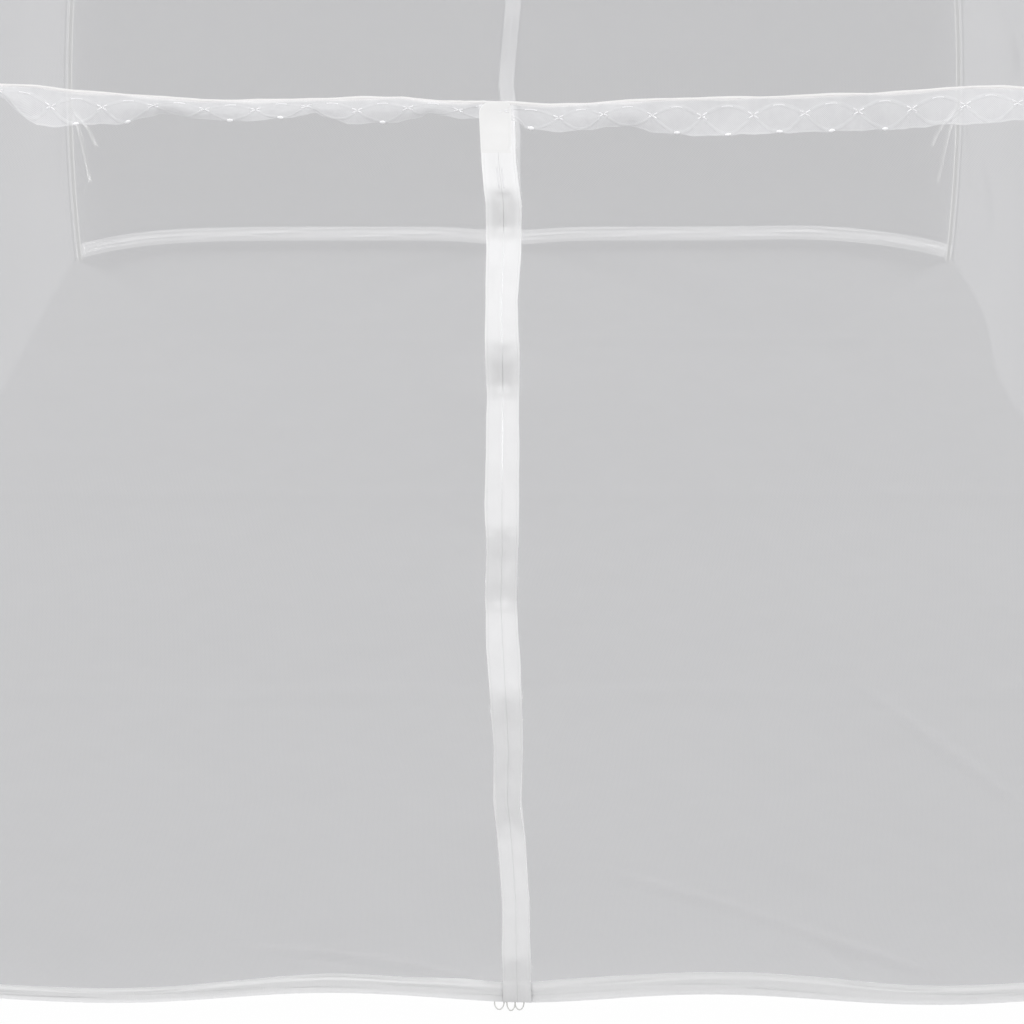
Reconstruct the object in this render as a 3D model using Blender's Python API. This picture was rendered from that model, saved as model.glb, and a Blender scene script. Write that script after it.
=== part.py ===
"""A yurt mosquito net standing on its own two hoops.

Frame: metres, +Z up, the origin on the floor under the middle of the net. The front door
wall faces -Y, the back door wall +Y, and the plain walls stand at -X and +X.

Every cloth piece lies on one surface, which `skin` gives. Going up, its four corner lines
lean in from the floor corners and meet at the crown, and a hoop runs inside each pair of
opposite corner lines. Between two corner lines the cloth stands out, and its packing folds,
dents and drooping seam are added there, fading to nothing at the corners, so that
neighbouring panels always meet along one line.
"""

import math
from typing import Callable, NamedTuple

import bmesh
import bpy
from mathutils import Vector

# ---------------------------------------------------------------- driving dimensions
HALF_WIDTH = 0.883  # middle to a floor corner, across the doors
HALF_DEPTH = 0.905  # middle to a floor corner, from door to door
HEIGHT = 1.500  # floor to the crown of the cloth
DOOR_BOW = 0.092  # how far a door wall stands out past the line between its corners
PLAIN_BOW = 0.014  # the same on the two plain walls, which are pulled nearly straight
BOW_POWER = 8  # high, so that a wall is straight but for the ends by its corners
FOOT_LEAN = 0.046  # share of the half width that a corner line leans in on its straight foot
FOOT_RISE = 0.828  # height over which the straight foot's direction pulls on the corner line
CROWN_REACH = 0.552  # share of the half width over which the crown's level direction pulls

SEAM_HEIGHT = 0.940  # walls meet the roof here, at the corners
NET_THICK = 0.0015
GAP = 0.0003  # between neighbouring pieces
MITRE = 0.00022  # each side's half of that gap where two sides meet at a corner
CROWN_GAP = 0.00024  # and from the crown to the tip of each gore
BAND_HEIGHT = 0.030  # the bound strip along the foot of a door wall
BAND_THICK = 0.0020
BINDING_HEIGHT = 0.0042  # the narrow binding that covers the seam of wall and roof
BINDING_THICK = 0.0012

ZIP_HALF = 0.0152  # half the width of a closed zip, tape edge to middle
COIL_HALF = 0.0027
COIL_THICK = 0.0015
PATCH_DROP = 0.041  # the patch over a zip's top end, below the seam
PATCH_RISE = 0.0005  # and above it
PATCH_HALF = 0.0156

LACE_THICK = 0.0010
LACE_FLARE = 0.007  # how far the lace's lower edge stands off the wall
LACE_WAVE = 0.0025  # and how much that changes from wave to wave
LACE_PITCH = 0.210
PATCH_PRESS = 0.050  # beside the zip the lace takes this far to stand off

HOOP_RADIUS = 0.0040
HOOP_CLEARANCE = 0.0020  # from a hoop to the cloth around it
HOOP_FOOT = 0.020  # a hoop's ends are upright up to here
CROSSING_REACH = 0.30  # distance from the crown within which the lower hoop dips

TIE_HEIGHT = 0.330  # where a tie goes round its hoop
TIE_WIDTH = 0.008
TIE_THICK = 0.0012

DOOR_CELLS = 10  # cells of cloth from a corner to the zip
CLOSENESS = 1.5  # how much closer together those cells are at the corner
PLAIN_CELLS = 14  # cells of cloth across a plain wall
ROOF_CELLS = 10  # cells of cloth from the seam to the crown
TRIM_CELLS = 2  # cells of lace and binding for each cell of cloth
HOOP_STEPS = 20  # straight steps from a hoop's foot to the crown


class Fold(NamedTuple):
    """A crease that crosses every wall, left by packing: its height and how far it stands out."""

    height: float
    out: float


class Dent(NamedTuple):
    """A place where one wall stands in or out: its middle, its reach each way and its depth."""

    side: str
    along: float
    height: float
    reach: float
    rise: float
    out: float


class Drift(NamedTuple):
    """The sideways place of a zip's middle line at a height."""

    height: float
    along: float


class Drop(NamedTuple):
    """How far the front lace hangs at a place along it. It is partly folded up on its left."""

    along: float
    drop: float


PACKING_FOLDS = (
    Fold(height=0.000, out=0.000),
    Fold(height=0.068, out=0.005),
    Fold(height=0.220, out=-0.005),
    Fold(height=0.395, out=0.007),
    Fold(height=0.480, out=-0.001),
    Fold(height=0.562, out=0.006),
    Fold(height=0.684, out=-0.003),
    Fold(height=0.727, out=0.002),
    Fold(height=0.824, out=-0.006),
    Fold(height=0.862, out=-0.001),
    Fold(height=0.940, out=-0.006),
    Fold(height=1.150, out=0.004),
    Fold(height=1.380, out=-0.003),
    Fold(height=1.500, out=0.000),
)
DENTS = (
    Dent("front", along=-0.43, height=0.0, reach=0.13, rise=0.30, out=0.007),
    Dent("front", along=-0.21, height=0.0, reach=0.13, rise=0.30, out=-0.008),
    Dent("front", along=0.02, height=0.0, reach=0.10, rise=0.25, out=0.006),
    Dent("front", along=0.22, height=0.0, reach=0.13, rise=0.30, out=-0.007),
    Dent("front", along=0.46, height=0.0, reach=0.14, rise=0.35, out=0.009),
    Dent("front", along=0.30, height=0.13, reach=0.22, rise=0.09, out=0.009),
    Dent("front", along=0.42, height=0.42, reach=0.16, rise=0.12, out=-0.008),
    Dent("front", along=-0.52, height=0.62, reach=0.18, rise=0.25, out=0.006),
    Dent("right", along=0.37, height=0.0, reach=0.24, rise=0.22, out=-0.036),
    Dent("right", along=0.63, height=0.10, reach=0.12, rise=0.14, out=0.010),
    Dent("right", along=-0.30, height=0.0, reach=0.25, rise=0.25, out=0.008),
    Dent("back", along=0.01, height=0.0, reach=0.09, rise=0.35, out=-0.022),
    Dent("back", along=-0.62, height=0.0, reach=0.14, rise=0.25, out=0.010),
    Dent("left", along=-0.10, height=0.30, reach=0.35, rise=0.30, out=0.008),
)
FRONT_ZIP = (
    Drift(height=0.000, along=0.002),
    Drift(height=0.220, along=-0.002),
    Drift(height=0.380, along=-0.007),
    Drift(height=0.590, along=-0.012),
    Drift(height=0.770, along=-0.010),
    Drift(height=0.940, along=-0.016),
)
BACK_ZIP = (
    Drift(height=0.000, along=0.000),
    Drift(height=0.200, along=0.004),
    Drift(height=0.350, along=0.014),
    Drift(height=0.510, along=0.005),
    Drift(height=0.940, along=0.000),
)
FRONT_LACE = (
    Drop(along=-0.560, drop=0.0090),
    Drop(along=-0.470, drop=0.0060),
    Drop(along=-0.445, drop=0.0160),
    Drop(along=-0.428, drop=0.0275),
    Drop(along=-0.388, drop=0.0235),
    Drop(along=-0.356, drop=0.0220),
    Drop(along=-0.318, drop=0.0110),
    Drop(along=-0.242, drop=0.0146),
    Drop(along=-0.180, drop=0.0090),
    Drop(along=-0.151, drop=0.0178),
    Drop(along=-0.106, drop=0.0172),
    Drop(along=-0.078, drop=0.0085),
    Drop(along=-0.047, drop=0.0102),
    Drop(along=0.003, drop=0.0125),
    Drop(along=0.042, drop=0.0195),
    Drop(along=0.102, drop=0.0180),
    Drop(along=0.141, drop=0.0255),
    Drop(along=0.167, drop=0.0285),
    Drop(along=0.260, drop=0.0265),
    Drop(along=0.350, drop=0.0271),
    Drop(along=0.408, drop=0.0271),
    Drop(along=0.4615, drop=0.0219),
)
PLAIN_LACE = (
    Drop(along=-0.50, drop=0.028),
    Drop(along=-0.15, drop=0.026),
    Drop(along=0.20, drop=0.029),
    Drop(along=0.50, drop=0.027),
)
SEAM_SAG = 0.017  # how far the seam droops at the middle of a door wall
SAG_REACH = 0.40  # along the seam
SAG_RISE = 0.10  # above and below it

WALL_HEIGHTS = (0.145, 0.310, 0.620, 0.775)  # rows of cloth between the packing folds
SHORTEST = 0.005  # and no cell of cloth is lower than this

# A tie's two free ends. Each point is (towards the middle, sideways, down), from the place
# on the inner side of the loop where both are sewn on, the short one over the long one.
LONG_END = (
    (0.000, 0.000, 0.000),
    (0.005, 0.001, 0.018),
    (0.011, 0.002, 0.040),
    (0.016, 0.003, 0.070),
    (0.020, 0.003, 0.104),
    (0.022, 0.004, 0.138),
)
SHORT_END = (
    (0.0013, 0.002, 0.000),
    (0.010, 0.006, 0.012),
    (0.020, 0.012, 0.026),
    (0.028, 0.017, 0.044),
    (0.034, 0.020, 0.066),
)

COLOURS = {
    "net": (0.80, 0.80, 0.82),
    "trim": (0.90, 0.90, 0.91),
    "lace": (0.84, 0.84, 0.86),
    "zip": (0.92, 0.92, 0.93),
    "coil": (0.70, 0.70, 0.72),
    "hoop": (0.82, 0.82, 0.80),
}
ROUGHNESS = {"net": 0.8, "trim": 0.7, "lace": 0.8, "zip": 0.6, "coil": 0.4, "hoop": 0.3}


# ---------------------------------------------------------------- the four sides
class Side(NamedTuple):
    """One side of the net: its two directions, its sizes at the floor and its zip, if any."""

    name: str
    along: Vector
    out: Vector
    half_along: float
    half_out: float
    bow: float
    zip_line: tuple


UP = Vector((0, 0, 1))
FRONT = Side("front", Vector((1, 0, 0)), Vector((0, -1, 0)), HALF_WIDTH, HALF_DEPTH, DOOR_BOW,
             FRONT_ZIP)
RIGHT = Side("right", Vector((0, 1, 0)), Vector((1, 0, 0)), HALF_DEPTH, HALF_WIDTH, PLAIN_BOW, ())
BACK = Side("back", Vector((-1, 0, 0)), Vector((0, 1, 0)), HALF_WIDTH, HALF_DEPTH, DOOR_BOW,
            BACK_ZIP)
LEFT = Side("left", Vector((0, -1, 0)), Vector((-1, 0, 0)), HALF_DEPTH, HALF_WIDTH, PLAIN_BOW, ())
SIDES = (FRONT, RIGHT, BACK, LEFT)
DOORS = (FRONT, BACK)


# ---------------------------------------------------------------- small sums
def between(rows: tuple, at: float) -> float:
    """Read a table of (place, value) rows at a place, straight from row to row."""
    if at <= rows[0][0]:
        return rows[0][1]
    for low, high in zip(rows, rows[1:]):
        if at <= high[0]:
            share = (at - low[0]) / (high[0] - low[0])
            return low[1] + (high[1] - low[1]) * share
    return rows[-1][1]


def hump(distance: float, reach: float) -> float:
    """A soft hump: 1 at its middle, and nearly 0 past twice its reach."""
    return math.exp(-((distance / reach) ** 2))


def bezier(turn: float, a: float, b: float, c: float, d: float) -> float:
    left = 1 - turn
    return a * left**3 + 3 * b * turn * left**2 + 3 * c * turn**2 * left + d * turn**3


def bezier_slope(turn: float, a: float, b: float, c: float, d: float) -> float:
    left = 1 - turn
    return 3 * ((b - a) * left**2 + 2 * (c - b) * turn * left + (d - c) * turn**2)


# ---------------------------------------------------------------- the net's surface
class Level(NamedTuple):
    """The cloth at one turn from the floor (0) to the crown (1)."""

    share: float  # of the floor's half width that is left here
    height: float
    normal_out: float  # the surface's unit normal, outwards
    normal_up: float  # and upwards


SHARE_POINTS = (1.0, 1.0 - FOOT_LEAN, CROWN_REACH, 0.0)
HEIGHT_POINTS = (0.0, FOOT_RISE, HEIGHT, HEIGHT)


def level(turn: float) -> Level:
    in_slope = -bezier_slope(turn, *SHARE_POINTS) * HALF_WIDTH
    up_slope = bezier_slope(turn, *HEIGHT_POINTS)
    length = math.hypot(in_slope, up_slope)
    return Level(
        bezier(turn, *SHARE_POINTS),
        bezier(turn, *HEIGHT_POINTS),
        up_slope / length,
        in_slope / length,
    )


def turn_at(height: float) -> float:
    """The turn at which the corner lines reach a height, by halving."""
    low, high = 0.0, 1.0
    for _ in range(40):
        middle = (low + high) / 2
        if bezier(middle, *HEIGHT_POINTS) < height:
            low = middle
        else:
            high = middle
    return (low + high) / 2


SEAM_TURN = turn_at(SEAM_HEIGHT)
SEAM_SHARE = level(SEAM_TURN).share


def bulge(side: Side, along: float, edge: float, at: Level) -> float:
    """How far a side stands out past the straight line between its corner lines."""
    stand = side.bow * (1 - (1 - at.share) ** 2) + between(PACKING_FOLDS, at.height)
    for dent in DENTS:
        if dent.side == side.name:
            near = hump(along - dent.along, dent.reach) * hump(at.height - dent.height, dent.rise)
            stand += dent.out * near
    return stand * (1 - min(1.0, abs(along) / edge) ** BOW_POWER)


def droop(side: Side, along: float, edge: float, at: Level) -> float:
    """How far the cloth near the seam of a door wall hangs down."""
    if not side.zip_line:
        return 0.0
    near = hump(along, SAG_REACH) * hump(at.height - SEAM_HEIGHT, SAG_RISE)
    return SEAM_SAG * near * (1 - min(1.0, abs(along) / edge) ** BOW_POWER)


def skin(side: Side, along: float, turn: float, lift: float) -> Vector:
    """A point of the cloth, `lift` off its middle surface."""
    at = level(turn)
    edge = side.half_along * at.share + at.normal_out * lift
    out = side.half_out * at.share + at.normal_out * lift + bulge(side, along, edge, at)
    height = at.height + at.normal_up * lift - droop(side, along, edge, at)
    return side.along * along + side.out * out + UP * height


def columns(side: Side, turn: float, lift: float) -> list[float]:
    """The places along a side where its grid of cloth has its columns, corner to corner."""
    at = level(turn)
    edge = side.half_along * at.share + at.normal_out * lift
    if not side.zip_line:
        shares = [2 * step / PLAIN_CELLS - 1 for step in range(PLAIN_CELLS + 1)]
        return [edge * math.sin(math.pi / 2 * share) for share in shares]
    narrowing = min(1.0, at.share / SEAM_SHARE)
    middle = between(side.zip_line, at.height) * narrowing
    shares = [(step / DOOR_CELLS) ** CLOSENESS for step in range(DOOR_CELLS + 1)]
    left_end = middle - ZIP_HALF * narrowing
    right_end = middle + ZIP_HALF * narrowing
    left = [-edge + (left_end + edge) * share for share in shares]
    right = [edge - (edge - right_end) * share for share in reversed(shares)]
    return [*left, middle, *right]


def trim_columns(side: Side, turn: float, lift: float) -> list[float]:
    """The same for lace and binding, which have smaller cells."""
    coarse = columns(side, turn, lift)
    fine = [coarse[0]]
    for low, high in zip(coarse, coarse[1:]):
        fine += [low + (high - low) * step / TRIM_CELLS for step in range(1, TRIM_CELLS + 1)]
    return fine


# ---------------------------------------------------------------- making objects
def finish(mesh_maker: bmesh.types.BMesh, name: str, kind: str) -> bpy.types.Object:
    """Close up one piece: faces outwards, in the scene, with its own material."""
    bmesh.ops.recalc_face_normals(mesh_maker, faces=mesh_maker.faces)
    mesh = bpy.data.meshes.new(name)
    mesh_maker.to_mesh(mesh)
    mesh_maker.free()
    piece = bpy.data.objects.new(name, mesh)
    bpy.context.scene.collection.objects.link(piece)
    dress(piece, kind)
    return piece


def dress(piece: bpy.types.Object, kind: str) -> None:
    material = bpy.data.materials.new(piece.name)
    material.use_nodes = True
    shader = material.node_tree.nodes["Principled BSDF"]
    shader.inputs["Base Color"].default_value = (*COLOURS[kind], 1.0)
    shader.inputs["Roughness"].default_value = ROUGHNESS[kind]
    piece.data.materials.append(material)


def slab(name: str, kind: str, across: int, up: int, place: Callable) -> bpy.types.Object:
    """A closed sheet. `place(column, row, face)` gives its points, on face -1 and face +1."""
    cloth = bmesh.new()
    number = cloth.verts.layers.int.new("number")
    grid = []
    for row in range(up + 1):
        for column in range(across + 1):
            vert = cloth.verts.new(place(column, row, -1))
            vert[number] = row * (across + 1) + column
            grid.append(vert)
    for row in range(up):
        for column in range(across):
            start = row * (across + 1) + column
            corners = (start, start + 1, start + across + 2, start + across + 1)
            cloth.faces.new([grid[corner] for corner in corners])
    raised = bmesh.ops.extrude_face_region(cloth, geom=cloth.faces[:])["geom"]
    for vert in raised:
        if isinstance(vert, bmesh.types.BMVert):
            row, column = divmod(vert[number], across + 1)
            vert.co = place(column, row, 1)
    bmesh.ops.remove_doubles(cloth, verts=cloth.verts, dist=0.00001)
    return finish(cloth, name, kind)


def panel(
    name: str,
    kind: str,
    side: Side,
    first: int,
    last: int,
    turns: list[float],
    thick: float = NET_THICK,
    pointed: bool = False,
) -> bpy.types.Object:
    """A sheet on one side of the net, from column `first` to column `last`."""
    end = len(columns(side, 0.0, 0.0)) - 1

    def place(column: int, row: int, face: int) -> Vector:
        here = face * thick / 2
        if pointed and row == len(turns) - 1:
            return side.out * CROWN_GAP + UP * (HEIGHT + here)
        along = columns(side, turns[row], here)[first + column]
        if column == 0:
            along += MITRE if first == 0 else GAP / 2
        if column == last - first:
            along -= MITRE if last == end else GAP / 2
        return skin(side, along, turns[row], here)

    return slab(name, kind, last - first, len(turns) - 1, place)


# ---------------------------------------------------------------- the cloth pieces
FLOOR_TOP = NET_THICK
WALL_FOOT = FLOOR_TOP + GAP
BAND_TOP = WALL_FOOT + BAND_HEIGHT
SPLIT = DOOR_CELLS  # column of a door wall's grid at the zip's left edge


def wall_turns(foot: float) -> list[float]:
    folds = [fold.height for fold in PACKING_FOLDS]
    inner = [h for h in (*folds, *WALL_HEIGHTS) if foot + SHORTEST < h < SEAM_HEIGHT - SHORTEST]
    return [turn_at(h) for h in sorted([foot, *inner, SEAM_HEIGHT - GAP / 2])]


def make_walls() -> None:
    """Four walls. A door wall is two panels with a bound strip along their foot."""
    door_turns = wall_turns(BAND_TOP + GAP)
    strip_turns = [turn_at(WALL_FOOT), turn_at(BAND_TOP)]
    for side in DOORS:
        end = 2 * DOOR_CELLS + 2
        panel(f"{side.name}_wall_left", "net", side, 0, SPLIT, door_turns)
        panel(f"{side.name}_wall_right", "net", side, SPLIT + 2, end, door_turns)
        panel(f"{side.name}_foot_band", "trim", side, 0, end, strip_turns, BAND_THICK)
    for side in (RIGHT, LEFT):
        panel(f"{side.name}_wall", "net", side, 0, PLAIN_CELLS, wall_turns(WALL_FOOT))


def make_roof() -> None:
    """Four gores, from the seam to the crown."""
    low = turn_at(SEAM_HEIGHT + GAP / 2)
    turns = [low + (1 - low) * step / ROOF_CELLS for step in range(ROOF_CELLS + 1)]
    for side in SIDES:
        end = len(columns(side, 0.0, 0.0)) - 1
        panel(f"{side.name}_roof", "net", side, 0, end, turns, pointed=True)


def make_floor() -> None:
    """The floor net, level, out to the outer faces of the walls that stand on it."""
    reach = max(NET_THICK, BAND_THICK) / 2
    ground = level(0.0)
    steps = 12

    def place(column: int, row: int, face: int) -> Vector:
        u = math.sin(math.pi / 2 * (2 * column / steps - 1))
        v = math.sin(math.pi / 2 * (2 * row / steps - 1))
        spot = Vector((u * (HALF_WIDTH + reach), v * (HALF_DEPTH + reach), 0))
        middle = spot.copy()
        for side in SIDES:
            edge = side.half_along + reach
            share = max(0.0, middle.dot(side.out) / (side.half_out + reach))
            spot += side.out * bulge(side, middle.dot(side.along), edge, ground) * share
        return spot + UP * (FLOOR_TOP * (face + 1) / 2)

    slab("floor_net", "net", steps, steps, place)


def make_zip(side: Side) -> None:
    """A closed coil zip: two tapes edge to edge, and the coil on their inner side."""
    turns = wall_turns(BAND_TOP + GAP)
    panel(f"{side.name}_zip_tape_left", "zip", side, SPLIT, SPLIT + 1, turns)
    panel(f"{side.name}_zip_tape_right", "zip", side, SPLIT + 1, SPLIT + 2, turns)
    inside = -(NET_THICK / 2 + GAP + COIL_THICK / 2)

    def coil(column: int, row: int, face: int) -> Vector:
        middle = columns(side, turns[row], 0.0)[SPLIT + 1]
        along = middle + (2 * column - 1) * COIL_HALF
        return skin(side, along, turns[row], inside + face * COIL_THICK / 2)

    slab(f"{side.name}_zip_coil", "coil", 1, len(turns) - 1, coil)


BINDING_LIFT = NET_THICK / 2 + GAP + BINDING_THICK / 2
LACE_LIFT = NET_THICK / 2 + GAP + LACE_THICK / 2
PATCH_LIFT = NET_THICK / 2 + 2 * GAP + BINDING_THICK + NET_THICK / 2


def make_patch(side: Side) -> None:
    """The patch sewn over a zip's top end, in front of the lace."""
    rows = 4
    low, high = SEAM_HEIGHT - PATCH_DROP, SEAM_HEIGHT + PATCH_RISE

    def place(column: int, row: int, face: int) -> Vector:
        turn = turn_at(low + (high - low) * row / rows)
        middle = between(side.zip_line, SEAM_HEIGHT)
        along = middle + (column - 1) * PATCH_HALF
        return skin(side, along, turn, PATCH_LIFT + face * NET_THICK / 2)

    slab(f"{side.name}_zip_patch", "trim", 2, rows, place)


def make_trim(side: Side, name: str, kind: str, rows: int, thick: float, line: Callable) -> None:
    """A trim from corner to corner. `line(along, share)` gives its height and its lift."""
    end = len(trim_columns(side, SEAM_TURN, 0.0)) - 1

    def place(column: int, row: int, face: int) -> Vector:
        height, lift = line(trim_columns(side, SEAM_TURN, 0.0)[column], row / rows)
        turn = turn_at(height)
        lift += face * thick / 2
        along = trim_columns(side, turn, lift)[column]
        if column == 0:
            along += MITRE
        if column == end:
            along -= MITRE
        return skin(side, along, turn, lift)

    slab(f"{side.name}_{name}", kind, end, rows, place)


def make_lace(side: Side) -> None:
    """The lace valance: it hangs from the binding, and its lower edge stands off the wall."""
    top = SEAM_HEIGHT - BINDING_HEIGHT / 2 - GAP
    drops = FRONT_LACE if side is FRONT else PLAIN_LACE

    def line(along: float, share: float) -> tuple[float, float]:
        flare = LACE_FLARE + LACE_WAVE * math.cos(math.tau * along / LACE_PITCH)
        if side.zip_line:
            beside = abs(along - between(side.zip_line, SEAM_HEIGHT)) - ZIP_HALF
            flare *= max(0.0, min(1.0, beside / PATCH_PRESS))
        return top - between(drops, along) * share, LACE_LIFT + flare * share**2

    make_trim(side, "lace", "lace", 2, LACE_THICK, line)


def make_binding(side: Side) -> None:
    """The binding over the seam of wall and roof."""

    def line(along: float, share: float) -> tuple[float, float]:
        return SEAM_HEIGHT + BINDING_HEIGHT * (share - 0.5), BINDING_LIFT

    make_trim(side, "binding", "trim", 1, BINDING_THICK, line)


# ---------------------------------------------------------------- the hoops and ties
HOOP_LIFT = -(NET_THICK / 2 + HOOP_CLEARANCE + HOOP_RADIUS)
TIE_TURNS = (turn_at(TIE_HEIGHT - TIE_WIDTH), turn_at(TIE_HEIGHT + TIE_WIDTH))


def hoop_point(turn: float, east: int, north: int) -> Vector:
    """The middle of a hoop inside one corner line. `east` and `north` are that corner's signs."""
    at = level(turn)
    inset = at.normal_out * HOOP_LIFT
    x = HALF_WIDTH * at.share + inset
    y = HALF_DEPTH * at.share + inset
    return Vector((east * x, north * y, at.height + at.normal_up * HOOP_LIFT))


def make_hoop(name: str, north: int, dip: float) -> None:
    """One hoop, from its foot on the floor net, over the crown, to the opposite corner."""
    start = turn_at(HOOP_FOOT)
    turns = [start + (1 - start) * step / HOOP_STEPS for step in range(HOOP_STEPS + 1)]
    arm = [hoop_point(turn, 1, north) for turn in sorted([*turns, *TIE_TURNS])]
    foot = Vector((arm[0].x, arm[0].y, WALL_FOOT))
    arm = [foot, *arm]
    other = [Vector((-point.x, -point.y, point.z)) for point in arm]
    path = [*arm, *reversed(other[:-1])]
    for point in path:
        reach = min(1.0, math.hypot(point.x, point.y) / CROSSING_REACH)
        point.z -= dip * math.cos(math.pi / 2 * reach) ** 2

    curve = bpy.data.curves.new(name, "CURVE")
    curve.dimensions = "3D"
    curve.bevel_depth = HOOP_RADIUS
    curve.bevel_resolution = 2
    curve.use_fill_caps = True
    line = curve.splines.new("POLY")
    line.points.add(len(path) - 1)
    for knot, point in zip(line.points, path):
        knot.co = (*point, 1.0)
    hoop = bpy.data.objects.new(name, curve)
    bpy.context.scene.collection.objects.link(hoop)
    dress(hoop, "hoop")


def make_tie(name: str, east: int, north: int) -> None:
    """A tape tied round the hoop in one corner, with its two free ends hanging inside."""
    below, above = (hoop_point(turn, east, north) for turn in TIE_TURNS)
    centre = (below + above) / 2
    lean = (above - below).normalized()
    inner = HOOP_RADIUS + GAP
    steps = 20
    inward = Vector((-east, -north, 0)).normalized()
    first = (inward - lean * inward.dot(lean)).normalized()
    second = lean.cross(first)

    band = bmesh.new()
    rings = []
    for radius, rise in ((inner, -1), (inner, 1), (inner + TIE_THICK, 1), (inner + TIE_THICK, -1)):
        ring = []
        for step in range(steps):
            angle = math.tau * step / steps
            spoke = first * math.cos(angle) + second * math.sin(angle)
            ring.append(band.verts.new(centre + spoke * radius + lean * (rise * TIE_WIDTH / 2)))
        rings.append(ring)
    for ring, after in zip(rings, [*rings[1:], rings[0]]):
        for step in range(steps):
            ahead = (step + 1) % steps
            band.faces.new((ring[step], ring[ahead], after[ahead], after[step]))
    finish(band, f"{name}_loop", "trim")

    sideways = Vector((-inward.y, inward.x, 0)) * (-east * north)
    knot = centre + inward * ((inner + TIE_THICK) / lean.z + GAP + TIE_THICK / 2)
    for label, route in (("long", LONG_END), ("short", SHORT_END)):
        points = [knot + inward * a + sideways * b - UP * c for a, b, c in route]

        def place(column: int, row: int, face: int) -> Vector:
            edge = sideways * ((column - 0.5) * TIE_WIDTH)
            return points[row] + edge + inward * (face * TIE_THICK / 2)

        slab(f"{name}_{label}_end", "trim", 1, len(points) - 1, place)


# ---------------------------------------------------------------- the whole net
def make_net() -> None:
    make_floor()
    make_walls()
    make_roof()
    for side in DOORS:
        make_zip(side)
        make_patch(side)
    for side in SIDES:
        make_binding(side)
        make_lace(side)
    make_hoop("hoop_upper", 1, 0.0)
    make_hoop("hoop_lower", -1, 2 * HOOP_RADIUS + GAP)
    for ns, north in (("front", -1), ("back", 1)):
        for ew, east in (("left", -1), ("right", 1)):
            make_tie(f"tie_{ns}_{ew}", east, north)


for old in list(bpy.data.objects):
    bpy.data.objects.remove(old)
make_net()
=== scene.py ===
"""Dresses the yurt mosquito net: cloth, lace, zips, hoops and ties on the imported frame.

Frame: metres, +Z up, the origin on the floor under the middle of the net, the front door
wall facing -Y. Every cloth piece lies on the one surface that NetShape works out, so that
walls, roof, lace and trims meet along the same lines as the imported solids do.
"""

import logging
import math
from dataclasses import dataclass
from enum import Enum
from functools import partial
from typing import Any, Callable, NamedTuple

import bpy
import numpy as np
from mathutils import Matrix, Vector

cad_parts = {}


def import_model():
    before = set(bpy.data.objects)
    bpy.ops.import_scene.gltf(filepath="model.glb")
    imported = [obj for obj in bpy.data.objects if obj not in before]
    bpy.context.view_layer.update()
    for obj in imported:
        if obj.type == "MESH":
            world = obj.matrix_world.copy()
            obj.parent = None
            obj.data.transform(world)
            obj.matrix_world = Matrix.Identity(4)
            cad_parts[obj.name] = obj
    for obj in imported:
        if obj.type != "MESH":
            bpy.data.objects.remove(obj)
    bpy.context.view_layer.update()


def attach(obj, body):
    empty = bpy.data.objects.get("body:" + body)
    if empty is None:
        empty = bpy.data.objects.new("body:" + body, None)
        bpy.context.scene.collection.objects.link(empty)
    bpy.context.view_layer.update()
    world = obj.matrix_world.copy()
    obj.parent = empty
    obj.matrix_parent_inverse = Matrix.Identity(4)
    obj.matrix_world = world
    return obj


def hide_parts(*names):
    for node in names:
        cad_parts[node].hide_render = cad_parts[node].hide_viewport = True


log = logging.getLogger("net")
Array = np.ndarray
Colour = tuple[float, float, float]
BODY = "root"
CUT_MAP = "cut"
RIM_NAME = "rim"
KEY_LIT = "close_cloth"
FAR_LIT = "far_cloth"
WELD = 0.00002
CLOTH_CREASE = math.radians(50)
TUBE_CREASE = math.radians(60)


# ---------------------------------------------------------------- shader helpers
def math_node(operation: str, swapped: bool = False) -> Callable[..., "Reading"]:
    """An operator of Reading.

    Args:
        operation: The operation of the Math node that it adds.
        swapped: Whether the other value comes first.

    Returns:
        The operator.
    """

    def apply(self: "Reading", *other: Any) -> "Reading":
        """Add the node.

        Args:
            other: The second value, a Reading or a number, if the operation takes one.

        Returns:
            The node's result.
        """
        node = self.tree.nodes.new("ShaderNodeMath")
        node.operation = operation
        for socket, value in zip(node.inputs, (*other, self) if swapped else (self, *other)):
            if isinstance(value, Reading):
                self.tree.links.new(value.socket, socket)
            else:
                socket.default_value = float(value)
        return Reading(self.tree, node.outputs[0])

    return apply


class Reading:
    """One number of a shader, for use in plain sums."""

    __add__ = __radd__ = math_node("ADD")
    __mul__ = __rmul__ = math_node("MULTIPLY")
    __sub__ = math_node("SUBTRACT")
    __rsub__ = math_node("SUBTRACT", swapped=True)
    cosine = math_node("COSINE")
    sine = math_node("SINE")
    size = math_node("ABSOLUTE")

    def __init__(self, tree: bpy.types.NodeTree, socket: bpy.types.NodeSocket) -> None:
        """Keep the socket and the tree that it is in."""
        self.tree, self.socket = tree, socket


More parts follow.
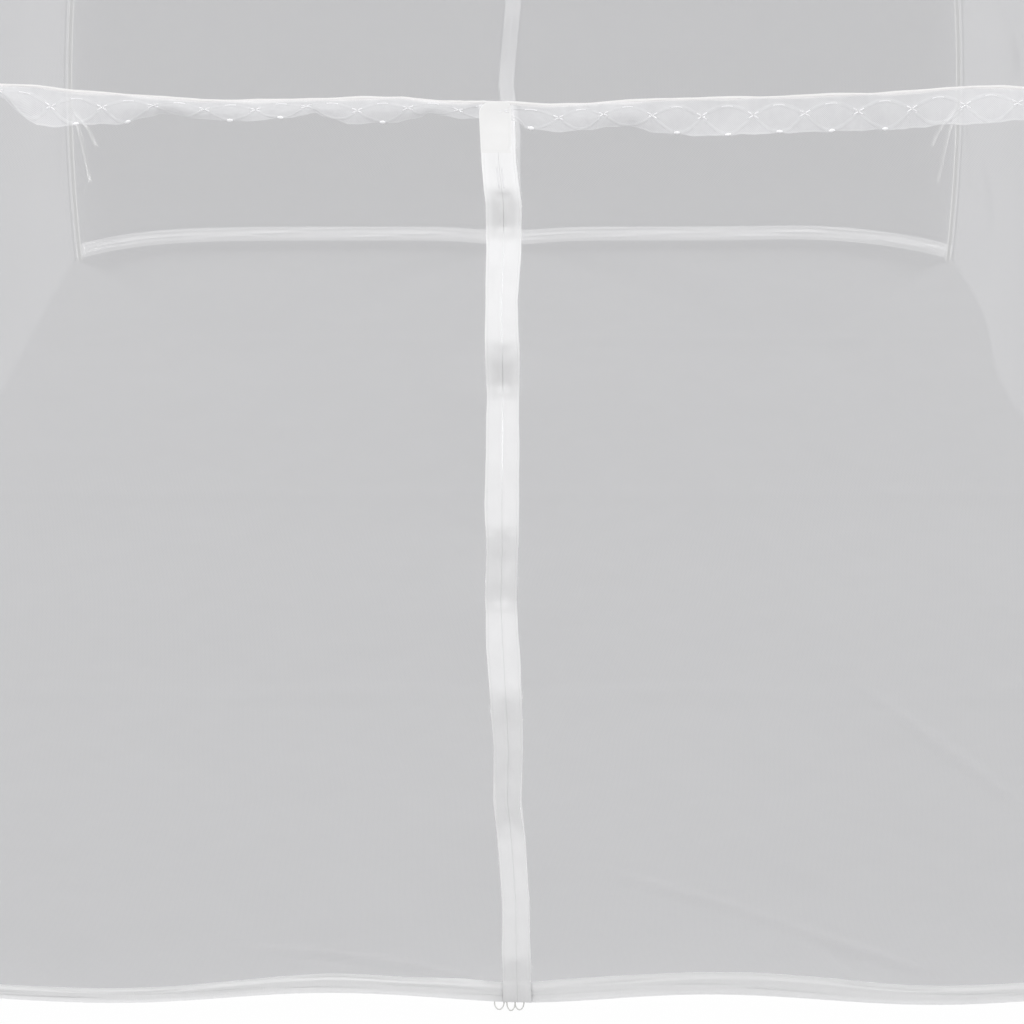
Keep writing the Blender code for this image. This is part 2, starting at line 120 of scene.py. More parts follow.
class Recipe:
    """The nodes of one material, from its coordinates to its surface."""

    def __init__(self, name: str) -> None:
        """Start an empty material.

        Args:
            name: Its name.
        """
        self.material = bpy.data.materials.new(name)
        self.material.use_nodes = True
        self.tree = self.material.node_tree
        self.tree.nodes.clear()

    def node(self, kind: str, settings: dict[str, Any], inputs: dict[Any, Any]) -> bpy.types.Node:
        """Add any node.

        Args:
            kind: Its type.
            settings: Its own settings, which are set first.
            inputs: What each socket gets, by name or number: a Reading, a socket or a value.

        Returns:
            The node.
        """
        node = self.tree.nodes.new(kind)
        for name, value in settings.items():
            setattr(node, name, value)
        for key, value in inputs.items():
            socket = node.inputs[key]
            value = value.socket if isinstance(value, Reading) else value
            if isinstance(value, bpy.types.NodeSocket):
                self.tree.links.new(value, socket)
            else:
                socket.default_value = value
        return node

    def number(self, node: bpy.types.Node, output: Any = 0) -> Reading:
        """One output of a node as a number."""
        return Reading(self.tree, node.outputs[output])

    def cut(self) -> tuple[bpy.types.NodeSocket, Reading, Reading]:
        """Where a point is on its cut cloth.

        Returns:
            Its place in metres, as a vector, along the cloth, and up it.
        """
        place = self.node("ShaderNodeUVMap", {"uv_map": CUT_MAP}, {}).outputs[0]
        parts = self.node("ShaderNodeSeparateXYZ", {}, {0: place})
        return place, self.number(parts, 0), self.number(parts, 1)

    def object_place(self) -> bpy.types.NodeSocket:
        """Where a point is in its object."""
        return self.node("ShaderNodeTexCoord", {}, {}).outputs["Object"]

    def rim(self) -> Reading:
        """How far a point is from its cloth's sewn edge, in metres."""
        rim = self.node("ShaderNodeAttribute", {"attribute_name": RIM_NAME}, {})
        return self.number(rim, "Fac")

    def clouds(self, vector: bpy.types.NodeSocket, scale: float, detail: float = 2.0) -> Reading:
        """Soft noise from 0 to 1 at a vector, by its lumps to a metre and its finer layers."""
        wanted = {"Vector": vector, "Scale": scale, "Detail": detail}
        return self.number(self.node("ShaderNodeTexNoise", {}, wanted))

    def near(self, value: Reading, low: float, high: float) -> Reading:
        """1 where a value is below `low`, 0 where it is above `high`, and smooth between them."""
        inputs = {"Value": value, "From Min": low, "From Max": high, "To Min": 1.0, "To Max": 0.0}
        return self.number(
            self.node("ShaderNodeMapRange", {"interpolation_type": "SMOOTHSTEP"}, inputs)
        )

    def blend(self, share: Reading, first: Any, second: Colour) -> bpy.types.NodeSocket:
        """A colour from the first, a colour or its socket, at share 0 to the second at 1."""
        start = (*first, 1.0) if isinstance(first, tuple) else first
        return self.node(
            "ShaderNodeMix", {"data_type": "RGBA"}, {0: share, 6: start, 7: (*second, 1.0)}
        ).outputs[2]

    def bump(self, height: Reading, depth: float) -> bpy.types.NodeSocket:
        """A normal from a relief from 0 to 1, where 1 is `depth` metres."""
        return self.node("ShaderNodeBump", {}, {"Height": height, "Distance": depth}).outputs[0]

    def surface(self, inputs: dict[str, Any]) -> bpy.types.Material:
        """Finish the material.

        Args:
            inputs: The shader's sockets.

        Returns:
            The material.
        """
        shader = self.node("ShaderNodeBsdfPrincipled", {}, inputs)
        self.node("ShaderNodeOutputMaterial", {}, {"Surface": shader.outputs[0]})
        return self.material


class Motif(NamedTuple):
    """The lace's repeat: its pitch, its first cross, its depth, the crosses' place from the edge
    up, and how far the lattice reaches over and under them."""

    pitch: float
    first: float
    depth: float
    middle: float
    rise: float
    fall: float


MOTIF = Motif(pitch=0.04636, first=0.0342, depth=0.029, middle=0.0155, rise=0.0077, fall=0.0140)


# ---------------------------------------------------------------- finishes
@dataclass(frozen=True)
class Netting:
    """Fine warp-knitted netting: hexagonal holes, a little uneven, denser where it is doubled."""

    name: str = "netting"
    pitch: float = 0.00125
    cover: float = 0.545
    hole: float = 0.07
    unevenness: float = 0.012
    doubled: float = 0.004
    doubled_width: float = 0.013
    light: Colour = (0.535, 0.535, 0.550)
    dark: Colour = (0.520, 0.520, 0.535)

    def material(self) -> bpy.types.Material:
        """Build the netting's material.

        Returns:
            The material.
        """
        recipe = Recipe(self.name)
        place, along, up = recipe.cut()
        turn = math.tau / self.pitch
        half, rise = turn / 2, turn * math.sqrt(3) / 2
        threads = (
            (along * turn).cosine()
            + (along * half + up * rise).cosine()
            + (along * half - up * rise).cosine()
        )
        clouds = recipe.clouds(place, 9.0, 3.0)
        fine = recipe.clouds(place, 90.0)
        seam = recipe.near(recipe.rim(), self.doubled_width * 0.9, self.doubled_width)
        alpha = self.cover - threads * (self.hole / 3) + (clouds - 0.5) * self.unevenness
        return recipe.surface(
            {
                "Base Color": recipe.blend(clouds, self.dark, self.light),
                "Alpha": alpha + (fine - 0.5) * self.unevenness + seam * self.doubled,
                "Roughness": 0.75,
                "Specular IOR Level": 0.2,
                "Normal": recipe.bump(recipe.clouds(place, 14.0, 3.0), 0.003),
            }
        )


class Pool(NamedTuple):
    """Painted shade on a tape, a darker colour where its folds shade it: how far up, its reach and
    its strength.
    """

    up: float
    reach: float
    share: float


@dataclass(frozen=True)
class WovenTrim:
    """Close white cloth or tape: a fine weave, a row of stitches beside its edge, and painted shade
    where its folds shade it.
    """

    name: str
    colour: Colour
    shade: Colour
    thread: float = 0.0005
    relief: float = 0.00012
    stitch_from_edge: float = 0.0022
    stitch_width: float = 0.0005
    stitch_length: float = 0.0030
    # Painted shade: darker colour towards the tape's middle line, at heights where its folds shade
    # it.
    pools: tuple[Pool, ...] = ()
    pool_colour: Colour = (0.66, 0.66, 0.665)
    pool_from_edge: float = 0.002
    pool_full: float = 0.008

    def material(self) -> bpy.types.Material:
        """Build the cloth's material.

        Returns:
            The material.
        """
        recipe = Recipe(self.name)
        place, along, up = recipe.cut()
        turn, stitch_turn = math.tau / self.thread, math.tau / self.stitch_length
        weave = (along * turn).cosine() * (up * turn).cosine()
        beside = (recipe.rim() - self.stitch_from_edge).size()
        row = recipe.near(beside, self.stitch_width * 0.5, self.stitch_width)
        gaps = (up * stitch_turn).cosine() + (along * stitch_turn).cosine()
        stitches = row * (0.5 + gaps * 0.25)
        clouds = recipe.clouds(place, 60.0, 3.0)
        tone = clouds * 0.6 + weave * 0.15 + 0.2 - stitches * 0.3
        height = weave * 0.5 + stitches * 1.6 + clouds * 2.0
        colour = recipe.blend(tone, self.shade, self.colour)
        # Painted shade: blend towards a grey colour near the middle line, where the tape's folds
        # shade it.
        for painted_spot in self.pools:
            inside = recipe.near((up - painted_spot.up).size(), painted_spot.reach * 0.5, painted_spot.reach)
            edge = recipe.near(recipe.rim(), self.pool_from_edge, self.pool_full)
            colour = recipe.blend(inside * (1.0 - edge) * painted_spot.share, colour, self.pool_colour)
        return recipe.surface(
            {
                "Base Color": colour,
                "Roughness": 0.65,
                "Specular IOR Level": 0.3,
                "Sheen Weight": 0.15,
                "Normal": recipe.bump(height, self.relief),
            }
        )


@dataclass(frozen=True)
class Tulle:
    """The lace's ground: a sheer net, with a broad, faint lattice of doubled threads in it."""

    name: str = "tulle"
    pitch: float = 0.0016
    cover: float = 0.42
    hole: float = 0.08
    unevenness: float = 0.10
    rim_cover: float = 0.04
    rim_width: float = 0.0018
    line: float = 0.0022
    line_cover: float = 0.05
    colour: Colour = (0.70, 0.70, 0.715)
    shade: Colour = (0.63, 0.63, 0.65)

    def material(self) -> bpy.types.Material:
        """Build the tulle's material.

        Returns:
            The material.
        """
        recipe = Recipe(self.name)
        place, along, up = recipe.cut()
        turn = math.tau / self.pitch
        threads = (along * turn + up * turn).cosine() + (along * turn - up * turn).cosine()
        clouds = recipe.clouds(place, 60.0)
        edge = recipe.near(recipe.rim(), self.rim_width * 0.6, self.rim_width)
        wave = ((along - MOTIF.first) * (math.pi / MOTIF.pitch)).sine().size()
        over = (up - MOTIF.middle - wave * MOTIF.rise).size()
        under = (up - MOTIF.middle + wave * MOTIF.fall).size()
        lattice = recipe.near(over, self.line * 0.3, self.line)
        lattice = lattice + recipe.near(under, self.line * 0.3, self.line)
        alpha = self.cover - threads * (self.hole / 2) + (clouds - 0.5) * self.unevenness
        return recipe.surface(
            {
                "Base Color": recipe.blend(clouds, self.shade, self.colour),
                "Alpha": alpha + edge * self.rim_cover + lattice * self.line_cover,
                "Roughness": 0.6,
                "Specular IOR Level": 0.3,
                "Normal": recipe.bump(clouds + lattice * 0.3, 0.001),
            }
        )


@dataclass(frozen=True)
class Thread:
    """Twisted thread or moulded fibre of one colour, in object coordinates."""

    name: str
    colour: Colour = (0.93, 0.93, 0.94)
    shade: Colour = (0.82, 0.82, 0.84)
    lumps: float = 900.0
    relief: float = 0.00015

    def material(self) -> bpy.types.Material:
        """Build the thread's material.

        Returns:
            The material.
        """
        recipe = Recipe(self.name)
        fibres = recipe.clouds(recipe.object_place(), self.lumps, 1.0)
        return recipe.surface(
            {
                "Base Color": recipe.blend(fibres, self.shade, self.colour),
                "Roughness": 0.5,
                "Specular IOR Level": 0.4,
                "Normal": recipe.bump(fibres, self.relief),
            }
        )


@dataclass(frozen=True)
class GlassRod:
    """A drawn glass-fibre rod: off-white, fine streaks along it, a soft gloss."""

    name: str = "hoop_rod"
    colour: Colour = (0.87, 0.87, 0.86)
    shade: Colour = (0.82, 0.82, 0.81)
    streak_scale: tuple = (1.0, 1.0, 0.05)

    def material(self) -> bpy.types.Material:
        """Build the rod's material.

        Returns:
            The material.
        """
        recipe = Recipe(self.name)
        stretched = recipe.node(
            "ShaderNodeMapping", {}, {0: recipe.object_place(), "Scale": self.streak_scale}
        )
        streaks = recipe.clouds(stretched.outputs[0], 500.0, 3.0)
        return recipe.surface(
            {
                "Base Color": recipe.blend(streaks, self.shade, self.colour),
                "Roughness": 0.45 + streaks * 0.15,
                "Coat Weight": 0.05,
                "Normal": recipe.bump(streaks, 0.00005),
            }
        )


# ---------------------------------------------------------------- the net's surface
class Side(Enum):
    """The four sides: their names and their level directions, along (seen from outside) and out."""

    FRONT = ("front", (1.0, 0.0, 0.0), (0.0, -1.0, 0.0))
    RIGHT = ("right", (0.0, 1.0, 0.0), (1.0, 0.0, 0.0))
    BACK = ("back", (-1.0, 0.0, 0.0), (0.0, 1.0, 0.0))
    LEFT = ("left", (0.0, -1.0, 0.0), (-1.0, 0.0, 0.0))

    @property
    def label(self) -> str:
        """The side's name."""
        return self.value[0]

    @property
    def along(self) -> Array:
        """Its direction along the floor."""
        return np.array(self.value[1])

    @property
    def out(self) -> Array:
        """Its direction out of the net."""
        return np.array(self.value[2])

    @property
    def is_door(self) -> bool:
        """Whether it has a zip."""
        return self in (Side.FRONT, Side.BACK)


class Part(Enum):
    """Which part of a side a panel covers."""

    WHOLE = "whole"
    LEFT = "left"
    RIGHT = "right"


HALVES = ((Part.LEFT, -1), (Part.RIGHT, 1))


class Fold(NamedTuple):
    """A crease across every wall, left by packing: its height and how far it stands out."""

    height: float
    out: float


class Dent(NamedTuple):
    """Where one wall stands in or out: its middle, its reach each way and its depth."""

    side: Side
    along: float
    height: float
    reach: float
    rise: float
    out: float


class Crease(NamedTuple):
    """A soft crease from one place on a side to another: its width and how far it stands out."""

    side: Side
    along: float
    height: float
    end_along: float
    end_height: float
    width: float
    out: float


class Drift(NamedTuple):
    """A zip at a height: the sideways place of its middle line and half its tapes' width."""

    height: float
    along: float
    half: float = 0.0152


class Mark(NamedTuple):
    """A size at a place along a side."""

    along: float
    size: float


class Level(NamedTuple):
    """The cloth at each turn from the floor (0) to the crown (1)."""

    share: Array
    height: Array
    normal_out: Array
    normal_up: Array


def table(kind: Callable, *rows: tuple) -> tuple:
    """A short table: rows of one kind, whose fields name the columns."""
    return tuple(kind(*row) for row in rows)


PACKING_FOLDS = table(
    Fold,
    (0.000, 0.000), (0.068, 0.005), (0.220, -0.005), (0.395, 0.007), (0.480, -0.001),
    (0.562, 0.006), (0.684, -0.003), (0.727, 0.002), (0.824, -0.006), (0.862, -0.001),
    (0.940, -0.006), (1.150, 0.004), (1.380, -0.003), (1.500, 0.000),
)  # fmt: skip
DENTS = table(
    Dent,
    (Side.FRONT, -0.43, 0.0, 0.13, 0.30, 0.007),
    (Side.FRONT, -0.21, 0.0, 0.13, 0.30, -0.008),
    (Side.FRONT, 0.02, 0.0, 0.10, 0.25, 0.006),
    (Side.FRONT, 0.22, 0.0, 0.13, 0.30, -0.007),
    (Side.FRONT, 0.46, 0.0, 0.14, 0.35, 0.009),
    (Side.FRONT, 0.30, 0.13, 0.22, 0.09, 0.009),
    (Side.FRONT, 0.42, 0.42, 0.16, 0.12, -0.008),
    (Side.FRONT, -0.52, 0.62, 0.18, 0.25, 0.006),
    (Side.RIGHT, 0.37, 0.0, 0.24, 0.22, -0.036),
    (Side.RIGHT, 0.63, 0.10, 0.12, 0.14, 0.010),
    (Side.RIGHT, -0.30, 0.0, 0.25, 0.25, 0.008),
    (Side.BACK, 0.01, 0.0, 0.09, 0.35, -0.022),
    (Side.BACK, -0.62, 0.0, 0.14, 0.25, 0.010),
    (Side.LEFT, -0.10, 0.30, 0.35, 0.30, 0.008),
)
CREASES = table(
    Crease,
    (Side.FRONT, 0.085, 0.180, 0.280, 0.113, 0.006, -0.0030),
    (Side.FRONT, 0.280, 0.113, 0.440, 0.050, 0.006, -0.0042),
    (Side.FRONT, 0.340, 0.393, 0.515, 0.260, 0.006, -0.0036),
    (Side.FRONT, -0.285, 0.070, -0.040, 0.033, 0.006, -0.0030),
    (Side.FRONT, -0.225, 0.055, -0.175, 0.046, 0.004, 0.0030),
    (Side.FRONT, 0.320, 0.095, 0.370, 0.045, 0.012, 0.0040),
    (Side.RIGHT, 0.575, 0.618, 0.495, 0.588, 0.010, 0.0110),
    (Side.RIGHT, 0.495, 0.588, 0.490, 0.515, 0.010, 0.0100),
    (Side.RIGHT, 0.735, 0.297, 0.655, 0.135, 0.012, 0.0090),
    (Side.RIGHT, 0.835, 0.435, 0.760, 0.330, 0.012, -0.0080),
)
ZIP_LINES = {
    Side.FRONT: table(
        Drift,
        (0.000, 0.002), (0.080, 0.0005, 0.0150), (0.143, -0.0001, 0.0135),
        (0.203, -0.0039, 0.0142), (0.265, -0.0088, 0.0126), (0.328, -0.0075, 0.0145),
        (0.385, -0.0097, 0.0153), (0.438, -0.0126, 0.0161), (0.487, -0.0149, 0.0150),
        (0.540, -0.0133, 0.0149), (0.588, -0.0135, 0.0162), (0.677, -0.0124, 0.0149),
        (0.723, -0.0129, 0.0158), (0.765, -0.0138, 0.0147), (0.807, -0.0114, 0.0159),
        (0.855, -0.0119, 0.0162), (0.891, -0.0160, 0.0157), (0.940, -0.0182, 0.0157),
    ),
    Side.BACK: table(
        Drift,
        (0.000, 0.000, 0.0175), (0.250, 0.002, 0.0175), (0.345, 0.0156, 0.0175),
        (0.510, 0.002, 0.0175), (0.940, 0.000, 0.0175),
    ),
}  # fmt: skip
# How far the front seam drops, with its wander.
SEAM_WANDER = table(
    Mark,
    (-0.460, -0.0037), (-0.430, -0.0040), (-0.397, -0.0009), (-0.356, 0.0000),
    (-0.284, 0.0039), (-0.193, -0.0006), (-0.102, -0.0050), (-0.047, 0.0010),
    (0.025, 0.0023), (0.080, -0.0011), (0.171, -0.0027), (0.262, -0.0012),
    (0.353, -0.0021), (0.407, -0.0042), (0.460, -0.0009),
)  # fmt: skip
# How far the front lace hangs.
FRONT_LACE = table(
    Mark,
    (-0.560, 0.0090), (-0.470, 0.0055), (-0.457, 0.0085), (-0.437, 0.0235),
    (-0.428, 0.0280), (-0.409, 0.0272), (-0.388, 0.0232), (-0.356, 0.0220),
    (-0.318, 0.0100), (-0.242, 0.0146), (-0.197, 0.0116), (-0.180, 0.0085),
    (-0.151, 0.0180), (-0.106, 0.0173), (-0.092, 0.0140), (-0.0785, 0.0080),
    (-0.047, 0.0102), (0.0033, 0.0117), (0.0069, 0.0168), (0.0424, 0.0199),
    (0.1024, 0.0171), (0.1187, 0.0226), (0.1415, 0.0255), (0.167, 0.0285),
    (0.259, 0.0264), (0.350, 0.0271), (0.383, 0.0256), (0.408, 0.0271),
    (0.4615, 0.0219),
)  # fmt: skip
# How far the front lace was pushed along as it was sewn on, at places on its own cloth.
LACE_SHIFT = table(
    Mark,
    (-0.700, 0.0000), (-0.520, 0.0125), (-0.390, 0.0123), (-0.154, 0.0086),
    (-0.060, 0.0065), (-0.012, 0.0000), (0.034, 0.0041), (0.080, -0.0027),
    (0.127, -0.0050), (0.176, -0.0070), (0.270, -0.0073), (0.316, -0.0055),
    (0.412, -0.0032), (0.700, 0.0000),
)  # fmt: skip
# How far the other sides' lace hangs.
PLAIN_LACE = table(Mark, (-0.50, 0.028), (-0.15, 0.026), (0.20, 0.029), (0.50, 0.027))
# How high the front foot band reaches.
BAND_TOPS = table(
    Mark,
    (-0.55, 0.0205), (-0.37, 0.0215), (-0.285, 0.0240), (-0.20, 0.0285), (-0.12, 0.0270),
    (-0.065, 0.0300), (0.05, 0.0345), (0.14, 0.0335), (0.27, 0.0355), (0.345, 0.0340),
    (0.42, 0.0290), (0.55, 0.0280),
)  # fmt: skip


def read(rows: tuple, at: Array, column: int = 1) -> Array:
    """One column of a table at some places of its first column, straight from row to row."""
    columns = list(zip(*rows))
    return np.interp(at, columns[0], columns[column])


def hump(distance: Array, reach: float) -> Array:
    """A soft hump: 1 at its middle, and nearly 0 past twice its reach."""
    return np.exp(-((distance / reach) ** 2))


def ripple(at: Array, pitch: float, phase: float = 0.0) -> Array:
    """An uneven wave from -1 to 1, from sines that don't fall in step."""
    turn = math.tau * at / pitch + phase
    return 0.6 * np.sin(turn) + 0.3 * np.sin(1.73 * turn + 1.1) + 0.1 * np.sin(3.19 * turn + 2.3)


@dataclass(frozen=True)
class NetShape:
    """The one surface that every cloth piece lies on."""

    half_width: float = 0.883
    half_depth: float = 0.905
    height: float = 1.500
    door_bow: float = 0.092
    plain_bow: float = 0.014
    bow_power: int = 8
    foot_lean: float = 0.046
    foot_rise: float = 0.828
    crown_reach: float = 0.552
    seam_height: float = 0.940
    seam_sag: float = 0.017
    sag_reach: float = 0.40
    sag_rise: float = 0.10
    gap: float = 0.0003
    mitre: float = 0.00022
    net_thick: float = 0.0015
    wall_foot: float = 0.0018
    back_band_top: float = 0.0318
    zip_half: float = 0.0152
    fold_softness: float = 0.006
    fold_on_net: float = 0.4
    fold_on_zip: float = 1.9
    fold_fade: float = 0.045
    # Where a crease's half wave starts, and how much of it there is.
    crease_ends: tuple[float, float] = (0.1, 0.8)
    table_steps: int = 4000

    def level(self, turn: Array) -> Level:
        """The cloth's corner line and normal at some turns.

        Args:
            turn: The turns.

        Returns:
            The levels there.
        """
        left = 1 - turn
        lean, reach = 1 - self.foot_lean, self.crown_reach
        share = left**3 + 3 * lean * turn * left**2 + 3 * reach * turn**2 * left
        height = 3 * self.foot_rise * turn * left**2 + self.height * (3 * turn**2 * left + turn**3)
        inward = 3 * (1 - lean) * left**2 + 6 * (lean - reach) * turn * left + 3 * reach * turn**2
        inward = inward * self.half_width
        upward = 3 * self.foot_rise * left**2 + 6 * (self.height - self.foot_rise) * turn * left
        length = np.hypot(inward, upward)
        return Level(share, height, upward / length, inward / length)

    def turn_at(self, height: Array) -> Array:
        """The turns at which the corner lines reach some heights."""
        turns = np.linspace(0.0, 1.0, self.table_steps)
        return np.interp(height, self.level(turns).height, turns)

    def folds(self, height: Array) -> Array:
        """How far the packing folds stand out, with slightly rounded ridges."""
        soft = self.fold_softness
        return (read(PACKING_FOLDS, height - soft) + read(PACKING_FOLDS, height + soft)) / 2

    def window(self, along: Array, edge: Array) -> Array:
        """1 over most of a side, falling to 0 at its corners."""
        return 1 - np.minimum(1.0, np.abs(along) / edge) ** self.bow_power

    def bulge(self, side: Side, along: Array, edge: Array, at: Level) -> Array:
        """How far a side stands out past the straight line between its corner lines.

        Args:
            side: The side.
            along: Places along it.
            edge: How far its corner lines are from its middle there.
            at: The levels there.

        Returns:
            The distances.
        """
        bow = self.door_bow if side.is_door else self.plain_bow
        stand = bow * (1 - (1 - at.share) ** 2)
        crisp = self.fold_on_net
        if side.is_door:
            beside = along - self.zip_line(side, at.height)
            crisp = crisp + (self.fold_on_zip - crisp) * hump(beside, self.fold_fade)
        stand = stand + crisp * self.folds(at.height)
        for dent in DENTS:
            if dent.side is side:
                near = hump(along - dent.along, dent.reach)
                stand = stand + dent.out * near * hump(at.height - dent.height, dent.rise)
        for crease in CREASES:
            if crease.side is side:
                stand = stand + self.crease(crease, along, at.height)
        return stand * self.window(along, edge)

    def crease(self, crease: Crease, along: Array, height: Array) -> Array:
        """How far one crease stands out at some places, fading towards its ends.

        Args:
            crease: The crease.
            along: Places along its side.
            height: Their heights.

        Returns:
            The distances.
        """
        run, rise = crease.end_along - crease.along, crease.end_height - crease.height
        over, up = along - crease.along, height - crease.height
        held = np.clip((over * run + up * rise) / (run**2 + rise**2), 0.0, 1.0)
        away = np.hypot(over - run * held, up - rise * held)
        start, span = self.crease_ends
        fade = np.sin(math.pi * (start + span * held))
        return crease.out * hump(away, crease.width) * fade

    def skin(self, side: Side, along: Array, turn: Array, lift: Array = 0.0) -> Array:
        """Points of the cloth.

        Args:
            side: The side that they are on.
            along: Their places along it.
            turn: Their turns.
            lift: How far they are off the cloth's middle surface.

        Returns:
            One row of coordinates for each point.
        """
        at = self.level(turn)
        edge = self.half_along(side) * at.share + at.normal_out * lift
        out = self.half_out(side) * at.share + at.normal_out * lift
        out = out + self.bulge(side, along, edge, at)
        sag = 0.0
        if side.is_door:
            sag = self.seam_sag * hump(along, self.sag_reach)
            if side is Side.FRONT:
                sag = sag + read(SEAM_WANDER, along)
            near = hump(at.height - self.seam_height, self.sag_rise)
            sag = sag * near * self.window(along, edge)
        height = at.height + at.normal_up * lift - sag
        level = np.outer(along, side.along) + np.outer(out, side.out)
        return level + np.outer(height, (0.0, 0.0, 1.0))

    def half_along(self, side: Side) -> float:
        """Half the length of a side's foot."""
        return self.half_width if side.is_door else self.half_depth

    def half_out(self, side: Side) -> float:
        """How far a side's foot corners are from the middle of the net."""
        return self.half_depth if side.is_door else self.half_width

    def edge(self, side: Side, turn: Array) -> Array:
        """How far a side's corner lines are from its middle."""
        return self.half_along(side) * self.level(turn).share

    def zip_line(self, side: Side, height: Array) -> Array:
        """Where a zip's middle line is along its side."""
        return read(ZIP_LINES[side], height)

    def band_top(self, side: Side, along: Array) -> Array:
        """How high a door side's foot band reaches."""
        return read(BAND_TOPS, along) if side is Side.FRONT else self.back_band_top + 0 * along

    def limits(self, side: Side, part: Part, turn: Array, overlap: float) -> tuple[Array, Array]:
        """The places along a side where a panel starts and ends.

        Args:
            side: The side.
            part: The part of it that the panel covers.
            turn: Turns.
            overlap: How far the panel reaches under the zip's tape.

        Returns:
            Its left end and its right end at each turn.
        """
        right = self.edge(side, turn) - self.mitre
        left = -right
        if part is not Part.WHOLE:
            middle = self.zip_line(side, self.level(turn).height)
            if part is Part.LEFT:
                right = middle - self.zip_half + overlap
            else:
                left = middle + self.zip_half - overlap
        return left, right


# ---------------------------------------------------------------- making meshes
# A place function gives the points, and how far each is from the sewn edge, for two arrays
# of shares from 0 to 1: across the cloth and up it.
Points = tuple[Array, Array]
Place = Callable[[Array, Array], Points]


def deselect() -> None:
    """Leave nothing selected."""
    bpy.ops.object.select_all(action="DESELECT")


def add(name: str, data: bpy.types.ID) -> bpy.types.Object:
    """Put a new object in the scene, selected and active.

    Args:
        name: Its name.
        data: Its curve, mesh, lamp or camera.

    Returns:
        The object.
    """
    piece = bpy.data.objects.new(name, data)
    bpy.context.scene.collection.objects.link(piece)
    deselect()
    piece.select_set(True)
    bpy.context.view_layer.objects.active = piece
    return piece


def on_all(operation: Callable, **options: Any) -> None:
    """Do one mesh operation to the whole of the active piece.

    Args:
        operation: The operation.
        options: Its settings.
    """
    bpy.ops.object.mode_set(mode="EDIT")
    bpy.ops.mesh.select_all(action="SELECT")
    operation(**options)
    bpy.ops.object.mode_set(mode="OBJECT")


def own(
    piece: bpy.types.Object,
    finish: bpy.types.Material,
    nodes: list[str],
    sheer: bool = False,
    key_lit: bool = True,
    far_lit: bool = False,
) -> None:
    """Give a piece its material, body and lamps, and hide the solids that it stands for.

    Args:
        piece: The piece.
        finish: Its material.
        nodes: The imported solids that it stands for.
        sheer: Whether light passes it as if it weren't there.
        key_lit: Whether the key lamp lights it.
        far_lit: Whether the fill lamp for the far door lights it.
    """
    piece.visible_shadow = piece.visible_diffuse = not sheer
    for group, lit in ((KEY_LIT, key_lit), (FAR_LIT, far_lit)):
        if lit:
            bpy.data.collections[group].objects.link(piece)
    piece.data.materials.clear()
    piece.data.materials.append(finish)
    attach(piece, BODY)
    if nodes:
        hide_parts(*nodes)
    log.info("made %s", piece.name)


def cloth(
    name: str,
    cells: tuple[int, int],
    place: Place,
    thick: float = 0.0,
    size: tuple[float, float] | None = None,
) -> bpy.types.Object:
    """Make one sheet of cloth from a grid.

    Args:
        name: Its name.
        cells: How many cells it has across and up.
        place: Its place function.
        thick: Its thickness, or 0 for a single layer.
        size: Its cut width and height, if its pattern must keep to them.

    Returns:
        The piece.
    """
    deselect()
    bpy.ops.mesh.primitive_grid_add(x_subdivisions=cells[0], y_subdivisions=cells[1], size=1.0)
    piece = bpy.context.object
    piece.name = name
    mesh = piece.data
    mesh.name = name
    flat = np.empty(len(mesh.vertices) * 3)
    mesh.vertices.foreach_get("co", flat)
    flat = flat.reshape(-1, 3) + 0.5
    points, rim = place(flat[:, 0], flat[:, 1])
    mesh.vertices.foreach_set("co", points.ravel())
    mesh.attributes.new(RIM_NAME, "FLOAT", "POINT").data.foreach_set("value", rim)
    lay_flat(mesh, flat, points, size)
    on_all(bpy.ops.mesh.remove_doubles, threshold=WELD)
    if thick:
        solid = piece.modifiers.new("thick", "SOLIDIFY")
        solid.thickness = thick
        solid.offset = 0.0
        bpy.ops.object.modifier_apply(modifier=solid.name)
        bpy.ops.object.shade_smooth_by_angle(angle=CLOTH_CREASE)
    else:
        bpy.ops.object.shade_smooth()
    return piece


def lay_flat(
    mesh: bpy.types.Mesh, flat: Array, points: Array, size: tuple[float, float] | None
) -> None:
    """Write the map of where each point is on the cut cloth, in metres.

    Args:
        mesh: The grid's mesh.
        flat: Each point's shares across and up.
        points: Each point's place in the hung cloth.
        size: Its cut width and height, if they are given.
    """
    order = np.lexsort((flat[:, 0].round(6), flat[:, 1].round(6)))
    across = len(np.unique(flat[:, 0].round(6)))
    grid = points[order].reshape(-1, across, 3)
    steps_u = np.linalg.norm(np.diff(grid, axis=1), axis=2)
    steps_v = np.linalg.norm(np.diff(grid, axis=0), axis=2)
    u = np.pad(np.cumsum(steps_u, axis=1), ((0, 0), (1, 0)))
    v = np.pad(np.cumsum(steps_v, axis=0), ((1, 0), (0, 0)))
    u = u - u[:, across // 2][:, None]
    where = np.empty((len(points), 2))
    where[order] = np.stack([u.ravel(), v.ravel()], axis=1)
    if size:
        where = (flat[:, :2] - (0.5, 0.0)) * size
    corners = np.empty(len(mesh.loops), dtype=np.int64)
    mesh.loops.foreach_get("vertex_index", corners)
    layer = mesh.uv_layers[0]
    layer.name = CUT_MAP
    layer.data.foreach_set("uv", where[corners].ravel())


